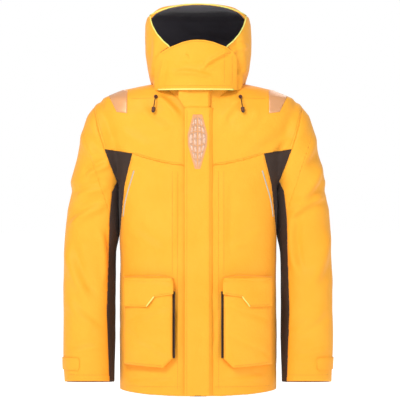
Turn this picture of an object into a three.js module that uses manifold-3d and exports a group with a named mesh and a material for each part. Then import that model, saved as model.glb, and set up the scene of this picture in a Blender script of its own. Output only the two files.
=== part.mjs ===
// A foul weather jacket for sailing, worn shape, in millimetres, +Z up, front towards -Y.
// The coat is drawn from its hem upwards, then moved so that the origin is the middle of the neck.
// Its soft shell is cut from one smooth outer form, so that neighbouring panels meet at their seams.
// "left" and "right" are the wearer's own sides: left lies towards +X.
import * as THREE from 'three';
import { mergeVertices } from 'three/addons/utils/BufferGeometryUtils.js';
import Module from 'manifold-3d';

const wasm = await Module();
wasm.setup();

// ---- Driving dimensions -------------------------------------------------------------------
const BODY_LENGTH = 771;        // hem to the neck seam at centre front
const BODY_HALF_WIDTH = 207;    // flat side of the body, hem to waist
const HEM_FRONT = 165;          // centre front at the hem, ahead of the side seams
const NECK_FRONT = 110;         // centre front at the neck seam
const BODY_BACK = 124;          // centre back, behind the side seams
const CHEST_HALF_WIDTH = 262;   // widest, across the shoulders
const SLEEVE_LENGTH = 735;      // neck seam height down to the cuff
const SLEEVE_WIDTH = 136;       // across the forearm
const SLEEVE_GAP = 12;          // air between the side of the body and the sleeve
const ELBOW_DROP = 371;         // neck seam height down to the elbow
const SHELL = 3;                // outer fabric with its backing
const LINING = 1.5;             // inner fabric
const FIT = 0.3;                // air between touching pieces
const NECK_HALF_WIDTH = 116;    // collar, across
const COLLAR_BACK = 86;         // collar, behind the side seams
const COLLAR_HEIGHT = 92;       // collar above the front neck seam
const HOOD_HALF_WIDTH = 139;    // hood, across
const HOOD_HEIGHT = 270;        // crown above the front neck seam
const HOOD_FRONT = 122;         // hood, ahead of the side seams
const HOOD_BACK = 124;          // hood, behind the side seams
const BRIM_DROP = 12;           // crown down to the upper edge of the face opening
const BRIM_HALF_WIDTH = 126;    // face opening, across its top corners
const CHIN_HALF_WIDTH = 60;     // face opening, across its foot
const FLAP_WIDTH = 69;          // storm flap over the zip
const FLAP_THICK = 3;
const FLAP_STANDOFF = 9;        // room under the storm flap for the zip slider
const ZIP_WIDTH = 16;           // gap between the two fronts
const ZIP_SLOT = 2.6;           // between the two rows of teeth
const TEETH_WIDTH = 2.8;
const TEETH_THICK = 2.4;
const SLIDER_LENGTH = 20;
const SLIDER_WIDTH = 12;
const SLIDER_PLATE = 2;
const POCKET_INNER_X = 66;      // pocket edge next to the storm flap
const POCKET_OUTER_X = BODY_HALF_WIDTH - 11;   // pocket edge at the side of the body
const POCKET_BOTTOM = 76;       // above the hem
const POCKET_HEIGHT = 236;
const POCKET_DEPTH = 26;        // pouch, proud of the shell
const POCKET_FLAP_HEIGHT = 84;
const CUFF_TAB_HEIGHT = 32;
const CUFF_TAB_RISE = 30;       // cuff edge up to the tab
const CORD_DIAMETER = 3;
const SLEEVE_SQUARENESS = 2.3;   // section of a sleeve, between an ellipse and a box

// ---- Heights and lines that follow from them ----------------------------------------------
const neckZ = BODY_LENGTH;
const elbowZ = neckZ - ELBOW_DROP;
const cuffZ = neckZ - SLEEVE_LENGTH;
const crownZ = neckZ + HOOD_HEIGHT;
const collarTopZ = neckZ + COLLAR_HEIGHT;
const tilt = Math.atan((HEM_FRONT - NECK_FRONT) / BODY_LENGTH);
const frontAt = (z) => HEM_FRONT - (HEM_FRONT - NECK_FRONT) * z / BODY_LENGTH;
const FAR = 600;                // reach of a cutting block, past every piece
const BODY_FACETS = 28;
const SLEEVE_FACETS = 16;

// ---- Finishes -----------------------------------------------------------------------------
const FINISH = {
  yellow: { color: 0xfdc33c, roughness: 0.72, metalness: 0 },
  black: { color: 0x3b3234, roughness: 0.8, metalness: 0 },
  lining: { color: 0x2d2b30, roughness: 0.9, metalness: 0 },
  neon: { color: 0xe9f25a, roughness: 0.6, metalness: 0 },
  reflective: { color: 0xe3b89c, roughness: 0.35, metalness: 0.2 },
  zip: { color: 0x26262a, roughness: 0.5, metalness: 0 },
  metal: { color: 0x8d8f92, roughness: 0.3, metalness: 0.9 },
  hook: { color: 0xf2a621, roughness: 0.95, metalness: 0 },
  cuff: { color: 0x5b2414, roughness: 0.85, metalness: 0 },
  plastic: { color: 0x55565a, roughness: 0.45, metalness: 0 },
};
const SIDES = [{ side: 'left', sign: 1 }, { side: 'right', sign: -1 }];

// ---- Solids -------------------------------------------------------------------------------
// A closed three.js geometry as a solid that can be joined and cut.
function solid(geometry) {
  const bare = geometry.clone();
  bare.deleteAttribute('normal');
  bare.deleteAttribute('uv');
  const merged = mergeVertices(bare, 1e-4);
  return new wasm.Manifold(new wasm.Mesh({
    numProp: 3,
    vertProperties: new Float32Array(merged.attributes.position.array),
    triVerts: new Uint32Array(merged.index.array),
  }));
}

function toMesh(name, body, finish) {
  const mesh = body.getMesh();
  const geometry = new THREE.BufferGeometry();
  geometry.setAttribute('position', new THREE.BufferAttribute(mesh.vertProperties, 3));
  geometry.setIndex(new THREE.BufferAttribute(mesh.triVerts, 1));
  geometry.computeVertexNormals();
  const part = new THREE.Mesh(geometry, new THREE.MeshStandardMaterial(FINISH[finish]));
  part.name = name;
  return part;
}

// A block given by its lowest and highest corners.
function block(low, high) {
  const size = high.map((value, i) => value - low[i]);
  const geometry = new THREE.BoxGeometry(...size);
  geometry.translate(...low.map((value, i) => value + size[i] / 2));
  return solid(geometry);
}

// An outline of [x, z] points seen from the front, carried through from one y to another.
function prism(points, yLow = -FAR, yHigh = FAR) {
  const outline = new THREE.Shape(points.map(([x, z]) => new THREE.Vector2(x, z)));
  const geometry = new THREE.ExtrudeGeometry(outline, { depth: yHigh - yLow, bevelEnabled: false });
  geometry.rotateX(Math.PI / 2);
  geometry.translate(0, yHigh, 0);
  return solid(geometry);
}

const mirrored = (points, sign) => points.map(([x, z]) => [sign * x, z]);
const power = (value, exponent) => Math.sign(value) * Math.abs(value) ** exponent;

// A closed form through level or slanted rings: place(angle, ring, reach) gives each corner.
function ringed(rings, facets, place) {
  const geometry = new THREE.CylinderGeometry(1, 1, 1, facets, rings.length - 1);
  const corner = geometry.attributes.position;
  for (let i = 0; i < corner.count; i += 1) {
    const reach = Math.hypot(corner.getX(i), corner.getZ(i));
    const angle = Math.atan2(corner.getX(i), corner.getZ(i));
    const ring = rings[Math.round((corner.getY(i) + 0.5) * (rings.length - 1))];
    const point = place(angle, ring, reach > 0.5 ? 1 : 0);
    corner.setXYZ(i, ...point);
  }
  return solid(geometry);
}

// Level rings {z, a, f, b, n}: half width, front and back reach, squareness.
function levelForm(rings, grow) {
  return ringed(rings, BODY_FACETS, (angle, ring, reach) => {
    const e = 2 / ring.n;
    const depth = Math.sin(angle) < 0 ? ring.f : ring.b;
    return [
      reach * (ring.a + grow) * power(Math.cos(angle), e),
      reach * (depth + grow) * power(Math.sin(angle), e),
      ring.z,
    ];
  });
}

// Slanted rings {out, in, d, y}: outer and inner edge in x and z, half depth, middle in y.
function sleeveForm(rings, grow, sign) {
  return ringed(rings, SLEEVE_FACETS, (turn, ring, reach) => {
    const angle = sign * turn;
    const half = [(ring.out[0] - ring.in[0]) / 2, (ring.out[1] - ring.in[1]) / 2];
    const length = Math.hypot(...half);
    const e = 2 / SLEEVE_SQUARENESS;
    const across = reach * (1 + grow / length) * power(Math.cos(angle), e);
    return [
      sign * ((ring.out[0] + ring.in[0]) / 2 + half[0] * across),
      ring.y + reach * (ring.d + grow) * power(Math.sin(angle), e),
      (ring.out[1] + ring.in[1]) / 2 + half[1] * across,
    ];
  });
}

// ---- The outer form of the body, sleeves, collar and hood ----------------------------------
const bodyRing = (z, a, b, n) => ({ z, a, f: frontAt(z), b, n });
const BODY_RINGS = [
  bodyRing(0, BODY_HALF_WIDTH, BODY_BACK, 2.7),
  bodyRing(neckZ - 320, BODY_HALF_WIDTH, BODY_BACK - 2, 2.7),
  bodyRing(neckZ - 211, BODY_HALF_WIDTH + 4, BODY_BACK, 2.9),
  bodyRing(neckZ - 130, BODY_HALF_WIDTH + 22, BODY_BACK + 4, 3.2),
  bodyRing(neckZ - 70, CHEST_HALF_WIDTH - 14, BODY_BACK + 2, 3.3),
  bodyRing(neckZ - 20, CHEST_HALF_WIDTH, BODY_BACK - 8, 3.1),
  { z: neckZ + 18, a: CHEST_HALF_WIDTH - 8, f: 98, b: 104, n: 2.9 },
  { z: neckZ + 40, a: CHEST_HALF_WIDTH - 62, f: 84, b: 92, n: 2.6 },
  { z: neckZ + 56, a: CHEST_HALF_WIDTH - 140, f: 66, b: 76, n: 2.4 },
  { z: neckZ + 64, a: CHEST_HALF_WIDTH - 190, f: 44, b: 54, n: 2.2 },
];
const sleeveInX = BODY_HALF_WIDTH + SLEEVE_GAP;
const sleeveRing = (outX, outZ, inX, inZ, d, y) => ({ out: [outX, outZ], in: [inX, inZ], d, y });
const SLEEVE_RINGS = [
  sleeveRing(sleeveInX + SLEEVE_WIDTH, cuffZ, sleeveInX + 6, cuffZ, 62, -28),
  sleeveRing(sleeveInX + SLEEVE_WIDTH + 3, cuffZ + 60, sleeveInX + 5, cuffZ + 60, 65, -26),
  sleeveRing(sleeveInX + SLEEVE_WIDTH + 4, cuffZ + 220, sleeveInX + 4, cuffZ + 220, 70, -8),
  sleeveRing(sleeveInX + SLEEVE_WIDTH + 2, elbowZ, sleeveInX + 2, elbowZ, 74, 14),
  sleeveRing(CHEST_HALF_WIDTH + 87, neckZ - 282, sleeveInX - 5, neckZ - 318, 76, 14),
  sleeveRing(CHEST_HALF_WIDTH + 76, neckZ - 222, sleeveInX - 5, neckZ - 262, 80, 11),
  sleeveRing(CHEST_HALF_WIDTH + 63, neckZ - 148, sleeveInX - 6, neckZ - 232, 86, 8),
  sleeveRing(CHEST_HALF_WIDTH + 49, neckZ - 78, sleeveInX - 7, neckZ - 218, 92, 6),
  sleeveRing(CHEST_HALF_WIDTH + 34, neckZ - 30, sleeveInX - 8, neckZ - 212, 92, 4),
  sleeveRing(CHEST_HALF_WIDTH + 8, neckZ + 4, sleeveInX - 14, neckZ - 208, 80, 3),
  sleeveRing(CHEST_HALF_WIDTH - 40, neckZ + 2, sleeveInX - 60, neckZ - 190, 64, 3),
];
const collarFront = (z) => frontAt(z) - 1;
const collarRing = (z, a, b) => ({ z, a, f: collarFront(z), b, n: 2.3 });
const COLLAR_RINGS = [
  collarRing(neckZ - 60, NECK_HALF_WIDTH, COLLAR_BACK),
  collarRing(neckZ + 40, NECK_HALF_WIDTH, COLLAR_BACK),
  collarRing(collarTopZ, NECK_HALF_WIDTH - 6, COLLAR_BACK - 2),
];
const hoodRing = (rise, a, f, b, n) => ({ z: neckZ + rise, a, f, b, n });
const HOOD_RINGS = [
  hoodRing(-30, HOOD_HALF_WIDTH - 17, HOOD_FRONT - 4, HOOD_BACK - 22, 2.5),
  hoodRing(58, HOOD_HALF_WIDTH - 15, HOOD_FRONT - 3, HOOD_BACK - 16, 2.5),
  hoodRing(95, HOOD_HALF_WIDTH - 6, HOOD_FRONT - 1, HOOD_BACK - 4, 2.5),
  hoodRing(135, HOOD_HALF_WIDTH - 1, HOOD_FRONT, HOOD_BACK, 2.6),
  hoodRing(190, HOOD_HALF_WIDTH, HOOD_FRONT, HOOD_BACK, 2.6),
  hoodRing(228, HOOD_HALF_WIDTH - 1, HOOD_FRONT, HOOD_BACK - 8, 2.6),
  hoodRing(HOOD_HEIGHT - 22, HOOD_HALF_WIDTH - 6, HOOD_FRONT - 1, HOOD_BACK - 22, 2.6),
  hoodRing(HOOD_HEIGHT - 8, HOOD_HALF_WIDTH - 26, HOOD_FRONT - 6, HOOD_BACK - 46, 2.6),
  hoodRing(HOOD_HEIGHT, HOOD_HALF_WIDTH - 70, HOOD_FRONT - 26, HOOD_BACK - 84, 2.4),
];

// The rings of an inner form run on past an open end by OVERRUN, so that the wall stays open.
const OVERRUN = 20;
function openBelow(rings) {
  const first = rings[0];
  return [first.out
    ? { ...first, out: [first.out[0], first.out[1] - OVERRUN], in: [first.in[0], first.in[1] - OVERRUN] }
    : { ...first, z: first.z - OVERRUN }, ...rings];
}
function openAbove(rings) {
  const last = rings[rings.length - 1];
  return [...rings, { ...last, z: last.z + OVERRUN }];
}
function raised(rings, drop) {
  return rings.map((ring) => ({ ...ring, z: ring.z - drop }));
}

// The whole coat below the neck, grown or shrunk by a distance.
function coatForm(grow, open) {
  const bodyRings = open ? openBelow(raised(BODY_RINGS, -grow)) : BODY_RINGS;
  let form = levelForm(bodyRings, grow);
  for (const { sign } of SIDES) {
    form = form.add(sleeveForm(open ? openBelow(SLEEVE_RINGS) : SLEEVE_RINGS, grow, sign));
  }
  return form;
}

const coatOuter = coatForm(0, false);
const coatInner = coatForm(-SHELL, true);
const neckHole = levelForm(openAbove(COLLAR_RINGS), -SHELL - LINING - FIT);
const coatShell = coatOuter.subtract(coatInner).subtract(neckHole);

// ---- Seam lines, seen from the front --------------------------------------------------------
// The armhole runs from the shoulder point to the underarm.
const ARMHOLE = [
  [CHEST_HALF_WIDTH + 34, neckZ + 30],
  [CHEST_HALF_WIDTH + 18, neckZ - 4],
  [CHEST_HALF_WIDTH + 4, neckZ - 64],
  [CHEST_HALF_WIDTH - 14, neckZ - 119],
  [BODY_HALF_WIDTH + 5, neckZ - 215],
];
const underarmZ = neckZ - 240;
const armholeFoot = [BODY_HALF_WIDTH + 5, underarmZ];
// The seam between chest and lower front rises towards the side.
const chestSeamZ = neckZ - 166;
const sideTopX = BODY_HALF_WIDTH - 32;
const CHEST_SEAM = [
  [0, chestSeamZ], [40, chestSeamZ + 2], [120, chestSeamZ + 22], [sideTopX, chestSeamZ + 34],
];
// The dark side panel starts wide under the arm and narrows to a strip at the side.
const SIDE_SEAM = [
  [sideTopX, chestSeamZ + 34],
  [sideTopX + 11, neckZ - 173],
  [sideTopX + 21, neckZ - 213],
  [BODY_HALF_WIDTH - 8, neckZ - 260],
  [BODY_HALF_WIDTH - 5, neckZ - 376],
  [BODY_HALF_WIDTH - 5, -OVERRUN],
];
const SIDE_TOP = [CHEST_HALF_WIDTH - 14, neckZ - 119];
const zipHalf = ZIP_WIDTH / 2;
const shifted = (points, dx, dz = 0) => points.map(([x, z]) => [x + dx, z + dz]);

// Regions that cut the shell, each for the side towards +X.
const upperRegion = [
  [0, crownZ], ...ARMHOLE.slice(0, 4), ...[...CHEST_SEAM].reverse(),
];
const sideRegion = [
  ...shifted([SIDE_TOP], 0, -FIT), ...ARMHOLE.slice(4), armholeFoot,
  [BODY_HALF_WIDTH + SLEEVE_GAP / 2, underarmZ - FIT], [BODY_HALF_WIDTH + SLEEVE_GAP / 2, -OVERRUN],
  ...shifted([...SIDE_SEAM].reverse(), FIT, -FIT),
];
const lowerRegion = [
  ...shifted(CHEST_SEAM.slice(0, 3), 0, -FIT), ...shifted(SIDE_SEAM, 0, -FIT), [0, -OVERRUN],
];
const sleeveRegion = [
  ...shifted(ARMHOLE, FIT), [BODY_HALF_WIDTH + 5 + FIT, underarmZ],
  [BODY_HALF_WIDTH + SLEEVE_GAP / 2 + FIT, underarmZ - 2 * FIT],
  [BODY_HALF_WIDTH + SLEEVE_GAP / 2 + FIT, -OVERRUN], [FAR, -OVERRUN], [FAR, neckZ + OVERRUN * 2],
];
// The dark underside of a sleeve.
const UNDERSIDE = [
  [sleeveInX + 16, neckZ - 232],
  [sleeveInX + 26, neckZ - 300],
  [sleeveInX + 20, elbowZ],
  [sleeveInX + 22, cuffZ + 180],
  [sleeveInX + 16, cuffZ - OVERRUN],
];
const undersideRegion = [
  ...UNDERSIDE, [BODY_HALF_WIDTH, cuffZ - OVERRUN], [BODY_HALF_WIDTH, neckZ - 200],
  [sleeveInX - 2, neckZ - 200],
];
const frontOf = (points, y = -FIT / 2) => prism(points, -FAR, y);
const backOf = (points, y = FIT / 2) => prism(points, y, FAR);

const jacket = new THREE.Group();
const add = (name, body, finish, parent = jacket) => parent.add(toMesh(name, body, finish));

// ---- Body panels ------------------------------------------------------------------------------
const zipGap = block([-zipHalf, -FAR, -OVERRUN], [zipHalf, -COLLAR_BACK / 2, crownZ]);
for (const { side, sign } of SIDES) {
  const here = (points) => mirrored(points, sign);
  add(`chest_yoke_${side}`, coatShell.intersect(frontOf(here(upperRegion))).subtract(zipGap), 'yellow');
  add(`lower_front_${side}`, coatShell.intersect(frontOf(here(lowerRegion))).subtract(zipGap), 'yellow');
  add(`side_panel_${side}`, coatShell.intersect(prism(here(sideRegion))), 'black');
}
const bothSides = (cut, points) => cut(points).add(cut(mirrored(points, -1)));
add('back_yoke', coatShell.intersect(bothSides(backOf, upperRegion)), 'yellow');
add('back_panel', coatShell.intersect(bothSides(backOf, lowerRegion)), 'yellow');

// ---- Lining, hem facing and hanging loop ---------------------------------------------------------
const HEM_FACING = 40;
const liningOut = SHELL + FIT;
const liningForm = levelForm(raised(BODY_RINGS, liningOut), -liningOut);
const liningHollow = levelForm(openBelow(raised(BODY_RINGS, liningOut + LINING)), -liningOut - LINING);
const zipChannel = 28;
const liningZipGap = block([-zipChannel / 2, -FAR, -OVERRUN], [zipChannel / 2, 0, crownZ]);
const liningShell = liningForm.subtract(liningHollow).subtract(neckHole).subtract(liningZipGap);
const insideArmhole = [
  ...shifted(ARMHOLE, -SHELL), [BODY_HALF_WIDTH, underarmZ], [BODY_HALF_WIDTH, -OVERRUN],
];
const liningRegion = prism([...insideArmhole, ...[...mirrored(insideArmhole, -1)].reverse()]);
let liningBody = liningShell.intersect(liningRegion);
for (const { sign } of SIDES) {
  liningBody = liningBody.subtract(sleeveForm(SLEEVE_RINGS, -SHELL - FIT, sign));
}
const aboveFacing = block([-FAR, -FAR, HEM_FACING + FIT], [FAR, FAR, FAR * 2]);
add('body_lining', liningBody.intersect(aboveFacing), 'lining');
add('hem_facing', liningBody.intersect(block([-FAR, -FAR, FIT], [FAR, FAR, HEM_FACING])), 'black');

// ---- Sleeves, cuffs and cuff tabs ----------------------------------------------------------------
for (const { side, sign } of SIDES) {
  const here = (points) => mirrored(points, sign);
  const sleeve = coatShell.intersect(prism(here(sleeveRegion)));
  const above = block([-FAR, -FAR, elbowZ + FIT / 2], [FAR, FAR, FAR * 2]);
  const below = block([-FAR, -FAR, -OVERRUN], [FAR, FAR, elbowZ - FIT / 2]);
  const under = prism(here(undersideRegion));
  const outside = prism(here(shifted(undersideRegion, FIT)));
  add(`upper_sleeve_${side}`, sleeve.intersect(above).subtract(outside), 'yellow');
  add(`upper_underarm_${side}`, sleeve.intersect(above).intersect(under), 'black');
  add(`forearm_sleeve_${side}`, sleeve.intersect(below).subtract(outside), 'yellow');
  add(`forearm_underarm_${side}`, sleeve.intersect(below).intersect(under), 'black');
  const innerCuff = sleeveForm(SLEEVE_RINGS, -SHELL - FIT, sign)
    .subtract(sleeveForm(openBelow(SLEEVE_RINGS), -SHELL - FIT - LINING, sign));
  const cuffBand = block([-FAR, -FAR, cuffZ + 1], [FAR, FAR, cuffZ + 75]);
  add(`inner_cuff_${side}`, innerCuff.intersect(cuffBand), 'cuff');
  const tabWrap = sleeveForm(SLEEVE_RINGS, FIT + SHELL, sign)
    .subtract(sleeveForm(openBelow(SLEEVE_RINGS), FIT, sign));
  const tabLow = cuffZ + CUFF_TAB_RISE;
  const tabFront = sleeveInX + SLEEVE_WIDTH - 40;
  const tabRegion = prism(here([[tabFront, tabLow + 6], [tabFront + 6, tabLow], [FAR, tabLow],
    [FAR, tabLow + CUFF_TAB_HEIGHT], [tabFront + 6, tabLow + CUFF_TAB_HEIGHT],
    [tabFront, tabLow + CUFF_TAB_HEIGHT - 6]]), -FAR, -24);
  add(`cuff_tab_${side}`, tabWrap.intersect(tabRegion), 'yellow');
}

// ---- Collar ------------------------------------------------------------------------------------
const standsOnCoat = levelForm(BODY_RINGS, FIT);
const collarFilled = levelForm(openAbove(COLLAR_RINGS), FIT);
const collarOuter = levelForm(COLLAR_RINGS, 0);
const collarMiddle = levelForm(openAbove(openBelow(COLLAR_RINGS)), -SHELL);
const collarShell = collarOuter.subtract(collarMiddle).subtract(standsOnCoat).subtract(zipGap);
add('collar', collarShell, 'yellow');
const collarLiningOut = levelForm(COLLAR_RINGS, -SHELL - FIT);
const collarLiningIn = levelForm(openAbove(openBelow(COLLAR_RINGS)), -SHELL - FIT - LINING);
add('collar_lining', collarLiningOut.subtract(collarLiningIn).subtract(standsOnCoat)
  .subtract(liningZipGap), 'lining');
const LOOP = { halfWidth: 30, width: 8, thick: 2, drop: 20, rise: 60 };
const loopTop = neckZ + LOOP.rise;
const liningReach = COLLAR_BACK - SHELL - LINING - FIT - 2;
const backAt = (x) => liningReach * (1 - (Math.abs(x) / NECK_HALF_WIDTH) ** 2.3) ** (1 / 2.3);
const loopBack = liningReach - LOOP.drop;
const loopEnd = (x) => block([x - LOOP.width / 2, loopBack, loopTop - LOOP.thick * 4],
  [x + LOOP.width / 2, backAt(LOOP.halfWidth) + FIT, loopTop + LOOP.thick]);
const loopBar = block([-LOOP.halfWidth, loopBack, loopTop],
  [LOOP.halfWidth, loopBack + LOOP.width, loopTop + LOOP.thick]);
const loopEndX = LOOP.halfWidth - LOOP.width / 2;
add('hanging_loop', loopBar.add(loopEnd(loopEndX)).add(loopEnd(-loopEndX)), 'black');

// ---- Hood, its lining and edge piping -------------------------------------------------------------
const opening = (grow) => {
  const top = crownZ - BRIM_DROP + grow;
  const side = BRIM_HALF_WIDTH + grow;
  const arc = [];
  const ARC_STEPS = 8;
  for (let i = 0; i <= ARC_STEPS; i += 1) {
    const along = -1 + 2 * i / ARC_STEPS;
    arc.push([along * side, top - 22 * along * along]);
  }
  return [...arc, [CHIN_HALF_WIDTH + 12 + grow, neckZ + 152], [CHIN_HALF_WIDTH + grow, neckZ],
    [-CHIN_HALF_WIDTH - grow, neckZ], [-CHIN_HALF_WIDTH - 12 - grow, neckZ + 152]];
};
const PIPING = 4;
const faceCut = frontOf(opening(PIPING), -10);
const hoodFoot = block([-HOOD_HALF_WIDTH + 27, -FAR, 0], [HOOD_HALF_WIDTH - 27, -50, neckZ + 40]);
const hoodClear = levelForm(BODY_RINGS, 2 * FIT).add(hoodFoot);
const hoodOuter = levelForm(HOOD_RINGS, 0);
const hoodInner = levelForm(openBelow(raised(HOOD_RINGS, SHELL)), -SHELL);
add('hood_shell', hoodOuter.subtract(hoodInner).subtract(faceCut).subtract(hoodClear), 'yellow');
const hoodLiningOut = levelForm(raised(HOOD_RINGS, SHELL + FIT), -SHELL - FIT);
const hoodLiningIn = levelForm(openBelow(raised(HOOD_RINGS, SHELL + FIT + LINING)), -SHELL - FIT - LINING);
const LINING_RISE = 66;         // foot of the hood's lining and piping, above the front neck seam
const liningFoot = block([-FAR, -FAR, 0], [FAR, FAR, neckZ + LINING_RISE]);
add('hood_lining', hoodLiningOut.subtract(hoodLiningIn).subtract(faceCut).subtract(hoodClear)
  .subtract(liningFoot), 'lining');
const pipingWall = levelForm(HOOD_RINGS, FIT).subtract(hoodInner);
add('hood_piping', pipingWall.intersect(frontOf(opening(PIPING - FIT), -10 - FIT))
  .subtract(frontOf(opening(0), FAR)).subtract(liningFoot), 'neon');

// ---- Face flap with its piping and hook patch ---------------------------------------------------------
const faceFlapLow = neckZ + 40;
const FACE_FLAP = [
  [-108, faceFlapLow], [-111, neckZ + 116], [-98, neckZ + 140], [-74, neckZ + 154],
  [-40, neckZ + 168], [0, neckZ + 173], [40, neckZ + 167], [73, neckZ + 155],
  [97, neckZ + 132], [98, faceFlapLow],
];
const FACE_STANDOFF = 3.5;
const faceWall = levelForm(HOOD_RINGS, FACE_STANDOFF + SHELL)
  .subtract(levelForm(HOOD_RINGS, FACE_STANDOFF));
const pipingLine = faceFlapLow + PIPING;
const belowPiping = block([-FAR, -FAR, 0], [FAR, FAR, pipingLine]);
const abovePiping = block([-FAR, -FAR, pipingLine - FIT], [FAR, FAR, FAR * 2]);
const facePiece = faceWall.intersect(frontOf(FACE_FLAP, -20));
add('face_flap', facePiece.subtract(belowPiping), 'yellow');
add('face_flap_piping', facePiece.subtract(abovePiping), 'neon');
const patchWall = levelForm(HOOD_RINGS, FACE_STANDOFF - FIT).subtract(levelForm(HOOD_RINGS, FIT));
const PATCH = [[82, neckZ + 60], [95, neckZ + 60], [95, neckZ + 120], [82, neckZ + 120]];
add('face_flap_hook_patch', patchWall.intersect(frontOf(PATCH, -20)), 'hook');

// ---- Main zip, storm flap and guard, all along the straight front edge ---------------------------------
const front = new THREE.Group();
front.position.set(0, -HEM_FRONT, 0);
front.rotation.x = -tilt;
jacket.add(front);
const lineLength = (z) => z / Math.cos(tilt);
const zipLow = 8;
const zipTop = lineLength(collarTopZ) - 8;
const toothInner = ZIP_SLOT / 2;
const toothOuter = toothInner + TEETH_WIDTH;
const toothFront = (SHELL - TEETH_THICK) / 2;
const toothBack = toothFront + TEETH_THICK;
for (const { side, sign } of SIDES) {
  const span = (low, high) => (sign > 0 ? [low, high] : [-high, -low]);
  const [rowLow, rowHigh] = span(toothInner, toothOuter);
  const [tapeLow, tapeHigh] = span(toothOuter - 0.5, zipHalf - FIT);
  const teeth = block([rowLow, toothFront, zipLow], [rowHigh, toothBack, zipTop]);
  const tape = block([tapeLow, toothFront + 0.7, zipLow], [tapeHigh, toothBack - 0.7, zipTop]);
  add(`zip_half_${side}`, teeth.add(tape), 'zip', front);
}
const sliderTop = zipTop - 6;
const sliderFront = toothFront - FIT;
const sliderBack = toothBack + FIT;
const sliderHalf = SLIDER_WIDTH / 2;
const sliderPlates = block([-sliderHalf, sliderFront - SLIDER_PLATE, sliderTop - SLIDER_LENGTH],
  [sliderHalf, sliderFront, sliderTop])
  .add(block([-sliderHalf, sliderBack, sliderTop - SLIDER_LENGTH],
    [sliderHalf, sliderBack + SLIDER_PLATE, sliderTop]));
const sliderWeb = block([-ZIP_SLOT / 2 + FIT, sliderFront - 1, sliderTop - SLIDER_LENGTH * 0.6],
  [ZIP_SLOT / 2 - FIT, sliderBack + 1, sliderTop]);
add('zip_slider', sliderPlates.add(sliderWeb), 'metal', front);
const PULLER = { halfWidth: 4, length: 18, thick: 1.4 };
const pullerFront = sliderFront - SLIDER_PLATE - FIT;
add('zip_puller', block([-PULLER.halfWidth, pullerFront - PULLER.thick, sliderTop - 4 - PULLER.length],
  [PULLER.halfWidth, pullerFront, sliderTop - 4]), 'zip', front);
const flapRight = FLAP_WIDTH / 2 - 1.5;
const flapLeft = flapRight - FLAP_WIDTH;
const flapBack = -FLAP_STANDOFF;
const flapFront = flapBack - FLAP_THICK;
const flapTop = lineLength(neckZ) - 10;
const flapLow = 3;
add('storm_flap', block([flapLeft, flapFront, flapLow], [flapRight, flapBack, flapTop]), 'yellow', front);
const SEAM_STRIP = 7;
add('storm_flap_seam', block([flapRight + FIT, flapFront, flapLow],
  [flapRight + SEAM_STRIP, -2 * FIT, flapTop]), 'yellow', front);
const GUARD = { halfWidth: 22, thick: 2, drop: 24, room: 3.1 };
const guardBack = SHELL + FIT + LINING + 2 * FIT + GUARD.room;
add('zip_guard', block([-GUARD.halfWidth, guardBack - GUARD.thick, FIT],
  [GUARD.halfWidth, guardBack, lineLength(neckZ) - GUARD.drop]), 'black', front);
const HOOK_STRIP = { inset: 4, width: 18, thick: 2, low: 60 };
const stripLow = flapLeft + HOOK_STRIP.inset;
const stripHigh = stripLow + HOOK_STRIP.width;
const stripTop = flapTop - HOOK_STRIP.low;
add('storm_flap_hooks', block([stripLow, flapBack + FIT, HOOK_STRIP.low],
  [stripHigh, flapBack + FIT + HOOK_STRIP.thick, stripTop]), 'hook', front);
add('front_loops', block([stripLow, flapBack + 2 * FIT + HOOK_STRIP.thick, HOOK_STRIP.low],
  [stripHigh, -2 * FIT, stripTop]), 'hook', front);
const badgeLow = neckZ - 173;
const BADGE = [[-28, badgeLow + 92], [-14, badgeLow + 144], [10, badgeLow + 144], [25, badgeLow + 92],
  [24, badgeLow + 62], [2, badgeLow], [-6, badgeLow], [-29, badgeLow + 62]];
add('storm_flap_reflector', prism(BADGE, flapFront - FIT - 1, flapFront - FIT), 'reflective', front);
const collarFlapLow = flapTop + 1;
const collarFlapSheet = block([flapLeft - 16, -11, collarFlapLow + 6], [flapRight, -9, collarFlapLow + 44]);
const collarFlapHem = block([flapRight - 6, -10, collarFlapLow + 14], [flapRight, 2.5, collarFlapLow + 44]);
add('collar_flap', collarFlapSheet.add(collarFlapHem), 'yellow', front);

// ---- Pockets with flaps ---------------------------------------------------------------------------------
const pocketTop = POCKET_BOTTOM + POCKET_HEIGHT;
const CORNER = 26;
const pocketOutline = (inset, rise) => [
  [POCKET_INNER_X + inset, pocketTop + rise], [POCKET_INNER_X + inset, POCKET_BOTTOM + CORNER + inset],
  [POCKET_INNER_X + CORNER, POCKET_BOTTOM + inset], [POCKET_OUTER_X - inset, POCKET_BOTTOM + 8 + inset],
  [POCKET_OUTER_X - inset, pocketTop + rise],
];
const flapTopZ = pocketTop + 8;
const flapFootZ = flapTopZ - POCKET_FLAP_HEIGHT;
const POCKET_FLAP = [
  [POCKET_INNER_X - 1, flapTopZ - 8], [POCKET_INNER_X - 1, flapFootZ + 34],
  [POCKET_INNER_X + 50, flapFootZ + 26], [POCKET_INNER_X + 70, flapFootZ],
  [POCKET_OUTER_X + 1, flapFootZ], [POCKET_OUTER_X + 1, flapTopZ - 6], [POCKET_INNER_X + 36, flapTopZ],
];
const FLAP_EDGE = [
  [POCKET_INNER_X + 50, flapFootZ + 26], [POCKET_INNER_X + 54, flapFootZ + 30],
  [POCKET_INNER_X + 75, flapFootZ + 3], [POCKET_INNER_X + 70, flapFootZ],
];
const bodyGrown = (grow) => levelForm(BODY_RINGS, grow);
const onShell = bodyGrown(FIT);
const pouchFront = bodyGrown(POCKET_DEPTH);
const pouchInside = bodyGrown(POCKET_DEPTH - SHELL);
const flapInside = bodyGrown(POCKET_DEPTH + 2 * FIT);
const flapOutside = bodyGrown(POCKET_DEPTH + 2 * FIT + SHELL);
const edgeInside = bodyGrown(POCKET_DEPTH + 3 * FIT + SHELL);
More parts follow.
